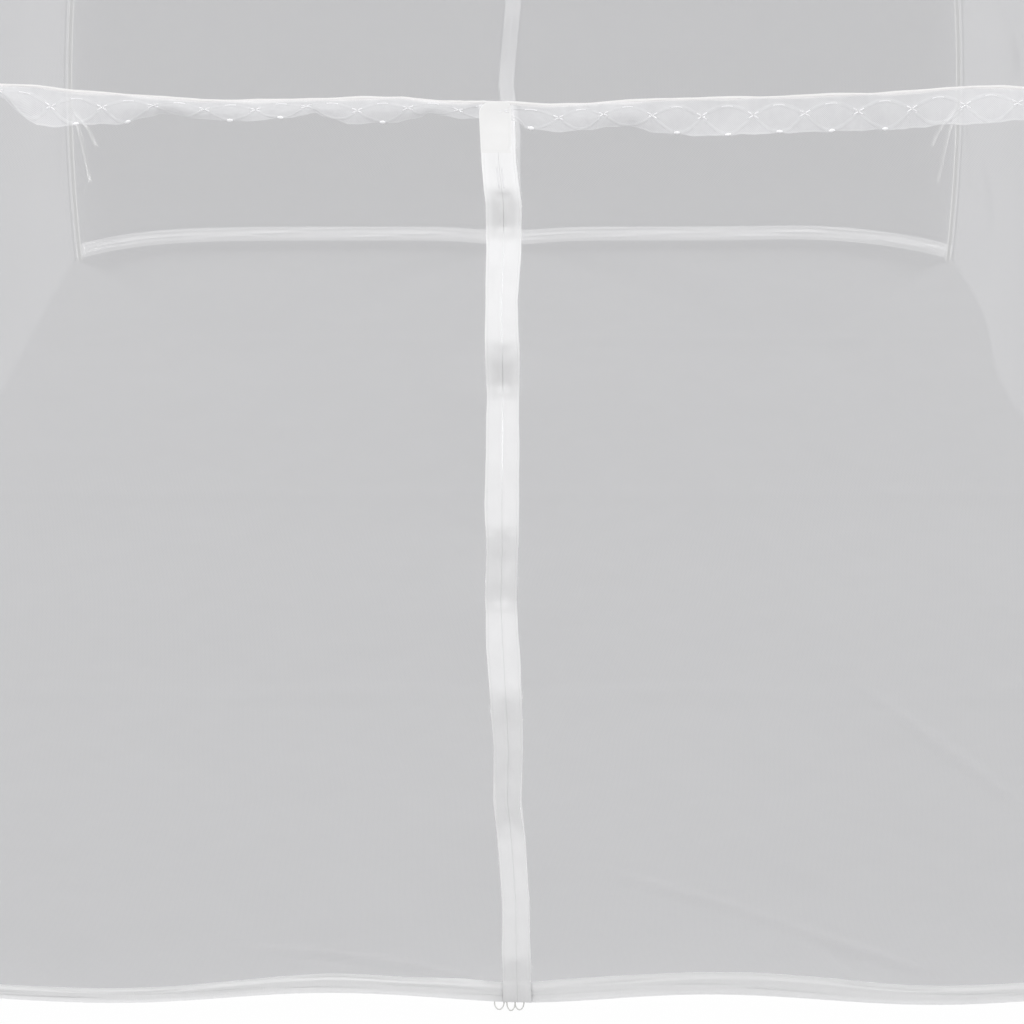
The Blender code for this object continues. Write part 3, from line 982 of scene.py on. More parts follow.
def tubes(
    name: str, routes: list[Array], radius: float, radii: list[Array] | None = None, sides: int = 0
) -> bpy.types.Object:
    """Make round threads or rods, all in one mesh.

    Args:
        name: The piece's name.
        routes: Each one's points.
        radius: Its radius.
        radii: How much thicker it is at each point, if that changes.
        sides: The curve's bevel resolution: 0 gives four sides.

    Returns:
        The piece.
    """
    curve = bpy.data.curves.new(name, "CURVE")
    curve.dimensions = "3D"
    curve.bevel_depth = radius
    curve.bevel_resolution = sides
    curve.use_fill_caps = True
    for number, route in enumerate(routes):
        line = curve.splines.new("POLY")
        line.points.add(len(route) - 1)
        line.points.foreach_set("co", np.pad(route, ((0, 0), (0, 1)), constant_values=1.0).ravel())
        if radii:
            line.points.foreach_set("radius", radii[number])
    add(name, curve)
    bpy.ops.object.convert(target="MESH")
    bpy.ops.object.shade_smooth_by_angle(angle=TUBE_CREASE)
    return bpy.context.object


def bead_shape(segments: int = 6, rings: int = 4) -> tuple[Array, Array]:
    """A small round bead of radius 1, from a primitive.

    Args:
        segments: How many faces go round it.
        rings: How many go from end to end.

    Returns:
        Its points and its faces.
    """
    deselect()
    bpy.ops.mesh.primitive_uv_sphere_add(segments=segments, ring_count=rings, radius=1.0)
    bead = bpy.context.object
    on_all(bpy.ops.mesh.quads_convert_to_tris)
    points = np.array([v.co[:] for v in bead.data.vertices])
    faces = np.array([f.vertices[:] for f in bead.data.polygons])
    bpy.data.objects.remove(bead)
    return points, faces


def beads(name: str, frames: Array) -> bpy.types.Object:
    """Copies of one bead, each stretched and turned by its own frame.

    Args:
        name: The piece's name.
        frames: For each bead a 4 by 3 array: its three half axes and its middle.

    Returns:
        The piece.
    """
    points, faces = bead_shape()
    placed = np.einsum("pk,nkc->npc", points, frames[:, :3]) + frames[:, 3][:, None, :]
    shifts = np.arange(len(frames))[:, None, None] * len(points)
    mesh = bpy.data.meshes.new(name)
    mesh.from_pydata(placed.reshape(-1, 3).tolist(), [], (faces + shifts).reshape(-1, 3).tolist())
    piece = add(name, mesh)
    on_all(bpy.ops.mesh.normals_make_consistent, inside=False)
    bpy.ops.object.shade_smooth()
    return piece


# ---------------------------------------------------------------- the cloth
class Cut(NamedTuple):
    """A sheet's flat size before it was sewn and hung: width, length and area."""

    width: float
    length: float
    area: float


@dataclass
class Walls:
    """The four walls of netting, the roof's four gores and the floor net."""

    shape: NetShape
    finish: bpy.types.Material
    door_cells: tuple[int, int] = (210, 200)
    far_door_cells: tuple[int, int] = (90, 100)
    plain_cells: tuple[int, int] = (220, 130)
    roof_cells: tuple[int, int] = (110, 60)
    floor_cells: tuple[int, int] = (110, 120)
    overlap: float = 0.0008
    ripple_out: float = 0.0008
    ripple_across: float = 0.31
    ripple_lean: float = 0.4
    ripple_up: float = 0.23
    calm_side: float = 0.05
    calm_foot: float = 0.04
    crown_gap: float = 0.00024
    floor_rise: float = 0.0009
    floor_calm: float = 0.08
    # Each fold across the floor: 0 for one at an X or 1 for one at a Y, and where.
    floor_folds: tuple = ((0, 0.31), (0, -0.29), (1, 0.02), (1, 0.55), (1, -0.48))
    fold_width: float = 0.006
    fold_rise: float = 0.0022
    floor_ripple: float = 0.0012
    floor_pitch: float = 0.27
    floor_lean: float = 0.3
    door_cut: Cut = Cut(0.872, 0.945, 0.747)
    plain_cut: Cut = Cut(1.81, 0.97, 1.60)
    door_roof_cut: Cut = Cut(1.34, 1.01, 0.754)
    plain_roof_cut: Cut = Cut(1.375, 0.94, 0.74)
    floor_cut: Cut = Cut(1.80, 2.00, 3.53)

    def build(self) -> None:
        """Make every piece of netting."""
        for side in Side:
            if side.is_door:
                cells = self.door_cells if side is Side.FRONT else self.far_door_cells
                for part, _ in HALVES:
                    place = partial(self.wall, side, part)
                    node = f"{side.label}_wall_{part.value}"
                    self.panel(node, cells, place)
            else:
                place, sewn = partial(self.wall, side, Part.WHOLE), f"foot_seam_{side.label}"
                node = f"{side.label}_wall"
                self.panel(node, self.plain_cells, place)
            place, sewn = partial(self.gore, side), f"binding_on_{side.label}"
            self.panel(f"{side.label}_roof", self.roof_cells, place)
        self.panel("floor_net", self.floor_cells, self.floor)

    def panel(
        self,
        node: str,
        cells: tuple[int, int],
        place: Place,
    ) -> None:
        """Make one piece of netting.

        Args:
            node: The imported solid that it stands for.
            cells: Its grid.
            place: Its place function.
        """
        name = "net_floor" if node == "floor_net" else f"net_{node}"
        piece = cloth(name, cells, place)
        own(piece, self.finish, [node], sheer=True, key_lit=False)

    def wall(self, side: Side, part: Part, u: Array, v: Array) -> Points:
        """A wall panel, from its foot to the seam.

        Args:
            side: Its side.
            part: The part of the side that it covers.
            u: Shares across it.
            v: Shares up it.

        Returns:
            Its points and their distances from the sewn edge.
        """
        shape = self.shape
        foot = shape.wall_foot + 0 * u
        if side.is_door:
            low = shape.turn_at(foot)
            left, right = shape.limits(side, part, low, self.overlap)
            foot = shape.band_top(side, left + (right - left) * u)
        height = foot + (shape.seam_height - foot) * v
        turn = shape.turn_at(height)
        left, right = shape.limits(side, part, turn, self.overlap)
        along = left + (right - left) * u
        rim = shape.edge(side, turn) - np.abs(along)
        far = np.minimum(1.0, rim / self.calm_side)
        far = far * np.minimum(1.0, (height - foot) / self.calm_foot)
        across = ripple(along + self.ripple_lean * height, self.ripple_across)
        lift = self.ripple_out * far * across * ripple(height, self.ripple_up)
        return shape.skin(side, along, turn, lift), rim

    def gore(self, side: Side, u: Array, v: Array) -> Points:
        """A gore of the roof, from the seam to the crown.

        Args:
            side: Its side.
            u: Shares across it.
            v: Shares up it.

        Returns:
            Its points and their distances from the sewn edge.
        """
        low = float(self.shape.turn_at(np.array(self.shape.seam_height)))
        turn = low + (1 - low) * v
        edge = self.shape.edge(side, turn)
        along = np.maximum(0.0, edge - self.shape.mitre) * (2 * u - 1)
        points = self.shape.skin(side, along, turn)
        crown = side.out * self.crown_gap + np.array((0.0, 0.0, self.shape.height))
        return np.where((v > 0.999)[:, None], crown, points), edge - np.abs(along)

    def floor(self, u: Array, v: Array) -> Points:
        """The floor net, out to the feet of the walls.

        Args:
            u: Shares across it.
            v: Shares along it.

        Returns:
            Its points and their distances from the sewn edge.
        """
        shape = self.shape
        wide, deep = shape.half_width, shape.half_depth
        start = np.stack([(2 * u - 1) * wide, (2 * v - 1) * deep, 0 * u], axis=1)
        spot = start.copy()
        ground = shape.level(np.zeros(len(u)))
        for side in Side:
            share = np.maximum(0.0, start @ side.out) / shape.half_out(side)
            stand = shape.bulge(side, start @ side.along, shape.half_along(side), ground)
            spot += np.outer(stand * share, side.out)
        rim = np.minimum(wide - np.abs(start[:, 0]), deep - np.abs(start[:, 1]))
        inside = np.minimum(1.0, rim / self.floor_calm)
        packing = sum(hump(spot[:, axis] - at, self.fold_width) for axis, at in self.floor_folds)
        slant = spot[:, 0] + self.floor_lean * spot[:, 1]
        soft = self.floor_ripple * (1 + ripple(slant, self.floor_pitch))
        spot[:, 2] = self.floor_rise + inside * (self.fold_rise * packing + soft)
        return spot, rim


class Groove(NamedTuple):
    """A lengthwise fold of a foot band: how far up it is, its depth and where its wave starts."""

    middle: float
    depth: float
    phase: float


@dataclass
class FootBands:
    """The bound strips along the feet of the two door walls."""

    shape: NetShape
    # Each door's finish; the back one is the same cloth with painted light, a brighter colour.
    finishes: dict[Side, bpy.types.Material]
    cells: tuple[int, int] = (420, 22)
    under: float = 0.0006
    over: float = 0.0012
    lift: float = 0.0004
    grooves: tuple = (Groove(0.27, 1.0, 0.0), Groove(0.50, 0.9, 2.0), Groove(0.76, 0.8, 4.1))
    groove: float = 0.0014
    groove_width: float = 0.055
    groove_wander: float = 0.08
    wander_pitch: float = 0.47
    gather_pitch: float = 0.27
    pucker: float = 0.0003
    pucker_pitch: float = 0.021
    roll: float = 0.0012
    roll_width: float = 0.10
    ridge: float = 0.0008
    ridge_middle: float = 0.70
    ridge_width: float = 0.11
    calm: float = 0.02
    width: float = 0.015
    cut: Cut = Cut(1.79, 0.032, 0.057)

    def build(self) -> None:
        """Make both bands."""
        for side in (Side.FRONT, Side.BACK):
            piece = cloth(f"band_{side.label}", self.cells, partial(self.band, side))
            far = side is Side.BACK
            own(piece, self.finishes[side], [f"{side.label}_foot_band"], far_lit=far)

    def band(self, side: Side, u: Array, v: Array) -> Points:
        """A band: gathered, with uneven lengthwise folds and a rolled foot.

        Args:
            side: Its side.
            u: Shares along it.
            v: Shares up it.

        Returns:
            Its points and their distances from the sewn edge.
        """
        shape = self.shape
        low = shape.wall_foot - self.under
        reach = shape.edge(side, shape.turn_at(np.array(low)))
        high = shape.band_top(side, reach * (2 * u - 1)) + self.over
        height = low + (high - low) * v
        turn = shape.turn_at(np.maximum(height, 0.0))
        edge = shape.edge(side, turn) - shape.mitre
        along = edge * (2 * u - 1)
        lift = self.lift + self.roll * hump(v, self.roll_width)
        lift = lift + self.ridge * hump(v - self.ridge_middle, self.ridge_width)
        for middle, depth, phase in self.grooves:
            line = middle + self.groove_wander * ripple(along, self.wander_pitch, phase)
            gather = ripple(along, self.gather_pitch, phase + 1.0)
            share = np.clip(0.35 + 0.85 * gather, 0.0, 1.0)
            lift = lift - self.groove * depth * share * hump(v - line, self.groove_width)
        pucker = self.pucker * ripple(along, self.pucker_pitch, 1.3)
        lift = lift + pucker * (1 - v) * (0.5 + 0.5 * v)
        calm = np.minimum(1.0, (edge - np.abs(along)) / self.calm)
        rim = (1 - np.abs(2 * v - 1)) * self.width
        return shape.skin(side, along, turn, lift * calm), rim


class EndLoop(NamedTuple):
    """A loop of cord at the front zip's foot: its middle, half its width and its reach."""

    along: float
    half: float
    reach: float


class Parting(NamedTuple):
    """Where a zip's tapes part a little: its height and its reach."""

    height: float
    reach: float


END_LOOPS = table(
    EndLoop, (-0.0178, 0.0051, 0.0095), (-0.0051, 0.0045, 0.0110), (0.0041, 0.0048, 0.0100)
)
PARTINGS = table(Parting, (0.774, 0.045), (0.642, 0.034))


@dataclass
class Zips:
    """The two door zips: tapes, coil and the patch over the top end."""

    shape: NetShape
    tapes: dict[Side, bpy.types.Material]
    patch: bpy.types.Material
    coil: bpy.types.Material
    cord: bpy.types.Material
    stitch: bpy.types.Material
    tape_cells: tuple[int, int] = (14, 300)
    tape_thick: float = 0.0007
    tape_lift: float = 0.0009
    tape_foot: float = 0.0022
    tape_past_seam: float = 0.001
    over_band: float = 0.0017
    band_edge: float = 0.038
    band_step: float = 0.006
    split: float = 0.00003
    open_split: float = 0.0004
    lip: float = 0.0003
    lip_width: float = 0.0013
    slope_step: float = 0.01
    trough: float = 0.0022
    trough_slope: float = 0.0012
    trough_pitch: float = 0.057
    trough_from_edge: float = 0.002
    trough_width: float = 0.006
    pucker: float = 0.0004
    pucker_pitch: float = 0.061
    pucker_from_edge: float = 0.008
    pucker_width: float = 0.005
    ragged: float = 0.0003
    ragged_pitch: float = 0.071
    coil_foot: float = 0.006
    coil_top: float = 0.004
    tooth_pitch: float = 0.0020
    tooth_shift: float = 0.0008
    tooth_size: tuple = (0.0019, 0.0007, 0.00052)
    # From, to and how many points, for a row of tacks and for an end loop.
    tack_heights: tuple = (0.869, 0.887, 7)
    loop_turns: tuple = (-0.2, math.pi + 0.2, 17)
    tack_places: tuple = (-0.0022, 0.0021)
    tack_lift: float = 0.0006
    tack_radius: float = 0.0005
    loop_radius: float = 0.0007
    # How high a loop's ends are, and how much higher its far end is.
    loop_rise: tuple[float, float] = (0.0012, 0.0016)
    loop_out: float = 0.004
    loop_in: float = 0.001
    patch_half: float = 0.0150
    patch_drop: float = 0.041
    patch_rise: float = 0.0005
    patch_shift: float = -0.0013
    patch_cells: tuple[int, int] = (26, 44)
    patch_lift: float = 0.0020
    patch_taper: float = 0.0024
    patch_nick: float = 0.0012
    nick_height: float = 0.004
    nick_reach: float = 0.003
    patch_puff: float = 0.0003
    puff_pitch: float = 0.03
    patch_press: float = 0.0006
    corner: float = 0.010
    far_corner: float = 0.2
    tape_cut: Cut = Cut(0.0152, 0.970, 0.0147)
    patch_cut: Cut = Cut(0.0300, 0.0415, 0.00124)

    def build(self) -> None:
        """Make both zips."""
        for side in (Side.FRONT, Side.BACK):
            far = side is Side.BACK
            for part, sign in HALVES:
                place = partial(self.tape, side, sign)
                name = f"tape_{side.label}_{part.value}"
                piece = cloth(name, self.tape_cells, place, self.tape_thick)
                node = f"{side.label}_zip_tape_{part.value}"
                own(piece, self.tapes[side], [node], far_lit=far)
            coil = f"{side.label}_zip_coil"
            own(self.teeth(side), self.coil, [coil], sheer=far, far_lit=far)
            patch = cloth(f"patch_{side.label}", self.patch_cells, partial(self.cover, side))
            own(patch, self.patch, [f"{side.label}_zip_patch"], sheer=True)
            tacks = self.tacks(side)
            own(tacks, self.stitch, [])
        own(self.end_loops(), self.cord, [])

    def tacks(self, side: Side) -> bpy.types.Object:
        """The two short rows of stitches below a patch.

        Args:
            side: Its side.

        Returns:
            The piece.
        """
        height = np.linspace(*self.tack_heights)
        turn = self.shape.turn_at(height)
        middle = self.shape.zip_line(side, height)
        lift = self.tape_lift + self.tack_lift
        routes = [self.shape.skin(side, middle + at, turn, lift) for at in self.tack_places]
        return tubes(f"zip_tacks_{side.label}", routes, self.tack_radius, sides=1)

    def tape(self, side: Side, sign: int, u: Array, v: Array) -> Points:
        """A tape, dimpled below each packing fold and raised over the foot band.

        Args:
            side: Its side.
            sign: -1 for the left tape and 1 for the right one.
            u: Shares across it.
            v: Shares up it.

        Returns:
            Its points and their distances from the sewn edge.
        """
        shape = self.shape
        low, high = self.tape_foot, shape.seam_height + self.tape_past_seam
        height = low + (high - low) * v
        turn = shape.turn_at(height)
        middle = shape.zip_line(side, height)
        apart = sum(hump(height - parting.height, parting.reach) for parting in PARTINGS)
        parting = self.split + self.open_split * np.minimum(apart, 1.0)
        width = read(ZIP_LINES[side], height, 2)
        width = width + self.ragged * ripple(height, self.ragged_pitch, 1.0 + sign)
        inner = u if sign < 0 else 1 - u
        beside = parting + (width - parting) * (1 - inner)
        slope = shape.folds(height + self.slope_step) - shape.folds(height - self.slope_step)
        dim = np.clip(slope / self.trough_slope, 0.0, 1.0)
        dim = dim * (0.75 + 0.25 * ripple(height, self.trough_pitch))
        lift = self.tape_lift + self.lip * hump(beside, self.lip_width)
        lift = lift - self.trough * dim * hump(beside - self.trough_from_edge, self.trough_width)
        wave = self.pucker * ripple(height + 0.3 * sign, self.pucker_pitch)
        lift = lift + wave * hump(beside - self.pucker_from_edge, self.pucker_width)
        step = np.clip((self.band_edge - height) / self.band_step, 0.0, 1.0)
        lift = lift + self.over_band * step * step * (3 - 2 * step)
        return shape.skin(side, middle + sign * beside, turn, lift), width - beside

    def cover(self, side: Side, u: Array, v: Array) -> Points:
        """A patch, with one rounded upper corner.

        Args:
            side: Its side.
            u: Shares across it.
            v: Shares up it.

        Returns:
            Its points and their distances from the sewn edge.
        """
        shape = self.shape
        low, high = shape.seam_height - self.patch_drop, shape.seam_height + self.patch_rise
        middle = float(shape.zip_line(side, np.array(shape.seam_height))) + self.patch_shift
        tall = high - low
        rise = tall * v
        above = np.clip((rise - tall + self.corner) / self.corner, 0.0, 1.0)
        cut_in = self.corner * (1 - np.sqrt(1 - above**2))
        left = -self.patch_half + self.patch_taper * (1 - v) + cut_in
        nick = self.patch_nick * hump(rise - self.nick_height, self.nick_reach)
        right = self.patch_half - nick - self.far_corner * cut_in
        along = middle + left + (right - left) * u
        puff = self.patch_puff * np.sin(math.pi * u) * (1 + ripple(rise, self.puff_pitch))
        puff = puff - self.patch_press * (1 - v)
        points = shape.skin(side, along, shape.turn_at(low + rise), self.patch_lift + puff)
        across = np.minimum(u, 1 - u) * 2 * self.patch_half
        return points, np.minimum(across, np.minimum(v, 1 - v) * tall)

    def teeth(self, side: Side) -> bpy.types.Object:
        """The closed coil behind the tapes: loops from either side, taking turns.

        Args:
            side: Its side.

        Returns:
            The piece.
        """
        shape = self.shape
        low, high = shape.back_band_top + self.coil_foot, shape.seam_height - self.coil_top
        height = np.arange(low, high, self.tooth_pitch / 2)
        turn = shape.turn_at(height)
        sign = np.where(np.arange(len(height)) % 2, 1.0, -1.0)
        along = shape.zip_line(side, height) + sign * self.tooth_shift
        inside = -(shape.net_thick / 2 + shape.gap + self.tooth_size[1])
        middles = shape.skin(side, along, turn, inside)
        rise = shape.skin(side, along, turn + 0.001, inside) - middles
        rise /= np.linalg.norm(rise, axis=1)[:, None]
        across = np.repeat(side.along[None, :], len(height), axis=0)
        axes = (across, np.cross(across, rise), rise)
        sized = [axis * size for axis, size in zip(axes, self.tooth_size)]
        return beads(f"coil_{side.label}", np.stack([*sized, middles], axis=1))

    def end_loops(self) -> bpy.types.Object:
        """The small loops of coil and thread at the front zip's foot.

        Returns:
            The piece.
        """
        foot = self.shape.skin(Side.FRONT, np.array([0.0]), np.array([0.0]), self.loop_out)[0]
        turn = np.linspace(*self.loop_turns)
        routes = []
        for loop in END_LOOPS:
            x = foot[0] + loop.along + loop.half * np.cos(turn) * (1 - 0.15 * np.sin(turn))
            y = foot[1] + self.loop_in - loop.reach * np.sin(turn)
            z = self.loop_rise[0] + self.loop_rise[1] * np.sin(turn) ** 2
            routes.append(np.stack([x, y, z], axis=1))
        return tubes("zip_end_loops", routes, self.loop_radius, sides=2)


@dataclass
class Trims:
    """The bindings over the seam of walls and roof, and the seams along the plain walls' feet."""

    shape: NetShape
    finish: bpy.types.Material
    seam: bpy.types.Material
    binding_height: float = 0.0031
    binding_bulge: float = 0.0005
    binding_thick: float = 0.0002
    # The size and the pitch of each uneven wave.
    binding_uneven: tuple[float, float] = (0.35, 0.083)
    binding_wander: tuple[float, float] = (0.0006, 0.141)
    binding_lumps: tuple[float, float] = (0.15, 0.037)
    seam_stitches: tuple[float, float] = (0.22, 0.012)
    seam_uneven: tuple[float, float] = (0.12, 0.09)
    binding_cells: tuple[int, int] = (260, 6)
    seam_radius: float = 0.0008
    seam_height: float = 0.0028
    seam_lift: float = 0.0012
    seam_short: float = 0.002
    seam_steps: int = 500

    def build(self) -> None:
        """Make every trim."""
        for side in Side:
            name, place = f"binding_on_{side.label}", partial(self.binding, side)
            piece = cloth(name, self.binding_cells, place, self.binding_thick)
            own(piece, self.finish, [f"{side.label}_binding"], sheer=True)
        for side in (Side.RIGHT, Side.LEFT):
            own(self.foot_seam(side), self.seam, [], sheer=True, key_lit=False)

    def binding(self, side: Side, u: Array, v: Array) -> Points:
        """A binding: a narrow strip, rounded over the seam.

        Args:
            side: Its side.
            u: Shares along it.
            v: Shares up it.

        Returns:
            Its points and their distances from the sewn edge.
        """
        shape = self.shape
        near = shape.edge(side, shape.turn_at(np.array(shape.seam_height))) * (2 * u - 1)
        share, pitch = self.binding_uneven
        tall = self.binding_height * (1 + share * ripple(near, pitch))
        reach, pitch = self.binding_wander
        wander = reach * ripple(near, pitch, 2.0)
        turn = shape.turn_at(shape.seam_height + wander + tall * (v - 0.5))
        along = (shape.edge(side, turn) - shape.mitre) * (2 * u - 1)
        share, pitch = self.binding_lumps
        round_over = (1 - (2 * v - 1) ** 2) * (1 + share * ripple(along, pitch))
        lift = shape.net_thick / 2 + shape.gap + self.binding_bulge * round_over
        return shape.skin(side, along, turn, lift), (0.5 - np.abs(v - 0.5)) * tall

    def foot_seam(self, side: Side) -> bpy.types.Object:
        """The rolled seam of wall and floor net along a plain wall.

        Args:
            side: Its side.

        Returns:
            The piece.
        """
        shape = self.shape
        reach = shape.half_along(side) - self.seam_short
        along = np.linspace(-reach, reach, self.seam_steps)
        turn = shape.turn_at(np.full(len(along), self.seam_height))
        route = shape.skin(side, along, turn, self.seam_lift)
        (stitch, close), (swell, far) = self.seam_stitches, self.seam_uneven
        thick = 1 + stitch * ripple(along, close) + swell * ripple(along, far, 1.0)
        return tubes(f"foot_seam_{side.label}", [route], self.seam_radius, [thick], 1)


@dataclass
class Lace:
    """The lace valance under the seam: tulle, with its embroidery standing on it."""

    shape: NetShape
    ground: bpy.types.Material
    thread: bpy.types.Material
    thick: float = 0.0010
    flare: float = 0.007
    wave: float = 0.0025
    wave_pitch: float = 0.210
    press: float = 0.050
    billow: float = 0.20
    uneven: float = 0.0006
    uneven_pitch: float = 0.03
    crumple_pitch: float = 0.019
    dip: float = 0.0024
    end_gap: float = 0.0008
    cells: tuple[int, int] = (420, 16)
    arc: float = 0.11
    arc_radius: float = 0.0003
    arc_lift: float = 0.0003
    arc_steps: int = 9
    petal: float = 0.0027
    petal_shift: float = 1.1
    petal_lean: float = 0.52
    petal_half: float = 0.0006
    # Half its length and half its width.
    oval: tuple[float, float] = (0.0030, 0.0015)
    oval_rise: float = 0.0010
    bead_lift: float = 0.0006
    bead_deep: float = 0.0006
    bead_step: float = 0.0012
    # The crosses of the front lace with no oval after them.
    bare: tuple = (3, 6, 9, 11, 12, 14, 15, 21, 22, 23)

    def build(self) -> None:
        """Make the valance of each side."""
        for side in Side:
            size = (2 * self.reach(side), MOTIF.depth)
            place = partial(self.tulle, side)
            base = cloth(f"lace_on_{side.label}", self.cells, place, size=size)
            own(base, self.ground, [f"{side.label}_lace"], sheer=True)
            arcs = tubes(f"lace_arcs_{side.label}", self.arcs(side), self.arc_radius)
            knots = beads(f"lace_knots_{side.label}", self.knots(side))
            for piece in (arcs, knots):
                own(piece, self.thread, [], sheer=True)

    def hang(self, side: Side, along: Array, depth: Array, lift: float = 0.0) -> Array:
        """Points of the valance.

        Args:
            side: Its side.
            along: Places along the lace's own cloth.
            depth: How far down it they are from its top.
            lift: How far in front of it.

        Returns:
            The points.
        """
        shape = self.shape
        drops = PLAIN_LACE
        if side is Side.FRONT:
            along = along + read(LACE_SHIFT, along)
            drops = FRONT_LACE
        drop = read(drops, along) + self.uneven * ripple(along, self.uneven_pitch)
        share = depth / MOTIF.depth
        standing = self.flare + self.wave * np.cos(math.tau * along / self.wave_pitch)
        loose = 1.0
        if side.is_door:
            middle = shape.zip_line(side, np.array(shape.seam_height))
            loose = np.clip((np.abs(along - middle) - shape.zip_half) / self.press, 0.0, 1.0)
        slack = np.sqrt(np.maximum(0.0, 1 - (drop / MOTIF.depth) ** 2))
        puff = self.billow * MOTIF.depth * slack * np.sin(math.pi * share)
        crumple = self.uneven * ripple(along, self.crumple_pitch, 2.0) * share
        off = shape.net_thick / 2 + shape.gap + self.thick / 2
        off = off + loose * (standing * share**2 + puff + crumple)
        turn = shape.turn_at(shape.seam_height - (drop + self.dip) * share)
        return shape.skin(side, along, turn, off + lift)

    def reach(self, side: Side) -> float:
        """How far the valance reaches from the middle of a side."""
        turn = self.shape.turn_at(np.array(self.shape.seam_height))
        return float(self.shape.edge(side, turn)) - self.end_gap

    def tulle(self, side: Side, u: Array, v: Array) -> Points:
        """The tulle.

        Args:
            side: Its side.
            u: Shares along it.
            v: Shares from its lower edge up.

        Returns:
            Its points and their distances from the lower edge.
        """
        depth = MOTIF.depth * (1 - v)
        return self.hang(side, self.reach(side) * (2 * u - 1), depth), MOTIF.depth - depth

    def crosses(self, side: Side) -> Array:
        """The places of the crosses along a side.

        Args:
            side: The side.

        Returns:
            The places.
        """
        reach = self.reach(side) - MOTIF.pitch / 2
        first = MOTIF.first - MOTIF.pitch * math.floor((MOTIF.first + reach) / MOTIF.pitch)
        return np.arange(first, reach, MOTIF.pitch)

    def arcs(self, side: Side) -> list[Array]:
        """The stitched arcs over the tops of the lattice's lozenges.

        Args:
            side: Their side.

        Returns:
            Each one's points.
        """
        routes = []
        for top in self.crosses(side) + MOTIF.pitch / 2:
            half = self.arc * MOTIF.pitch
            along = np.linspace(top - half, top + half, self.arc_steps)
            rise = MOTIF.middle + MOTIF.rise * np.cos(math.pi * (along - top) / MOTIF.pitch)
            routes.append(self.hang(side, along, MOTIF.depth - rise, self.arc_lift))
        return routes

    def knots(self, side: Side) -> Array:
        """The stitched crosses, each of four petals, and the ovals on the edge between them.

        Args:
            side: Their side.

        Returns:
            One frame for each bead.
        """
        frames = []
        shift, size = self.petal * self.petal_shift, (self.petal, self.petal_half)
        for number, cross in enumerate(self.crosses(side)):
            for lean in (self.petal_lean, -self.petal_lean):
                for sign in (-1, 1):
                    along = cross + sign * shift * math.cos(lean)
                    depth = MOTIF.depth - MOTIF.middle + sign * shift * math.sin(lean)
                    frames.append(self.frame(side, along, depth, lean, size))
            if side is not Side.FRONT or number not in self.bare:
                place = (cross + MOTIF.pitch / 2, MOTIF.depth - self.oval_rise)
                frames.append(self.frame(side, *place, 0.0, self.oval))
        return np.array(frames)

    def frame(
        self, side: Side, along: float, depth: float, lean: float, size: tuple[float, float]
    ) -> Array:
        """The half axes and middle of one stitched bead.

        Args:
            side: Its side.
            along: Its place along the lace.
            depth: Its place down the lace.
            lean: The angle of its length.
            size: Half its length and half its width.

        Returns:
            A 4 by 3 array.
        """
        step = self.bead_step
        places = np.array([along, along + step, along]), np.array([depth, depth, depth + step])
        spots = self.hang(side, *places, self.bead_lift)
        across = (spots[1] - spots[0]) / step
        down = (spots[2] - spots[0]) / step
        deep = np.cross(across, down)
        deep /= np.linalg.norm(deep)
        long_axis = across * math.cos(lean) + down * math.sin(lean)
        wide_axis = np.cross(long_axis, deep)
        axes = [long_axis * size[0], wide_axis * size[1], deep * self.bead_deep]
        return np.stack([*axes, spots[0]])


# ---------------------------------------------------------------- hoops and ties
class Corner(NamedTuple):
    """A corner of the net: its name and the signs of its X and Y."""

    label: str
    east: int
    north: int


class Bend(NamedTuple):
    """A point of a tie's free end, from its knot: how far inward, sideways and down."""

    inward: float
    sideways: float
    down: float


CORNERS = table(
    Corner,
    ("front_left", -1, -1), ("front_right", 1, -1), ("back_left", -1, 1), ("back_right", 1, 1),
)  # fmt: skip
LONG_END = table(
    Bend,
    (0.000, 0.000, 0.000), (0.005, 0.001, 0.018), (0.011, 0.002, 0.040),
    (0.016, 0.003, 0.070), (0.020, 0.003, 0.104), (0.022, 0.004, 0.138),
)  # fmt: skip
SHORT_END = table(
    Bend,
    (0.0013, 0.002, 0.000), (0.010, 0.006, 0.012), (0.020, 0.012, 0.026),
    (0.028, 0.017, 0.044), (0.034, 0.020, 0.066),
)  # fmt: skip


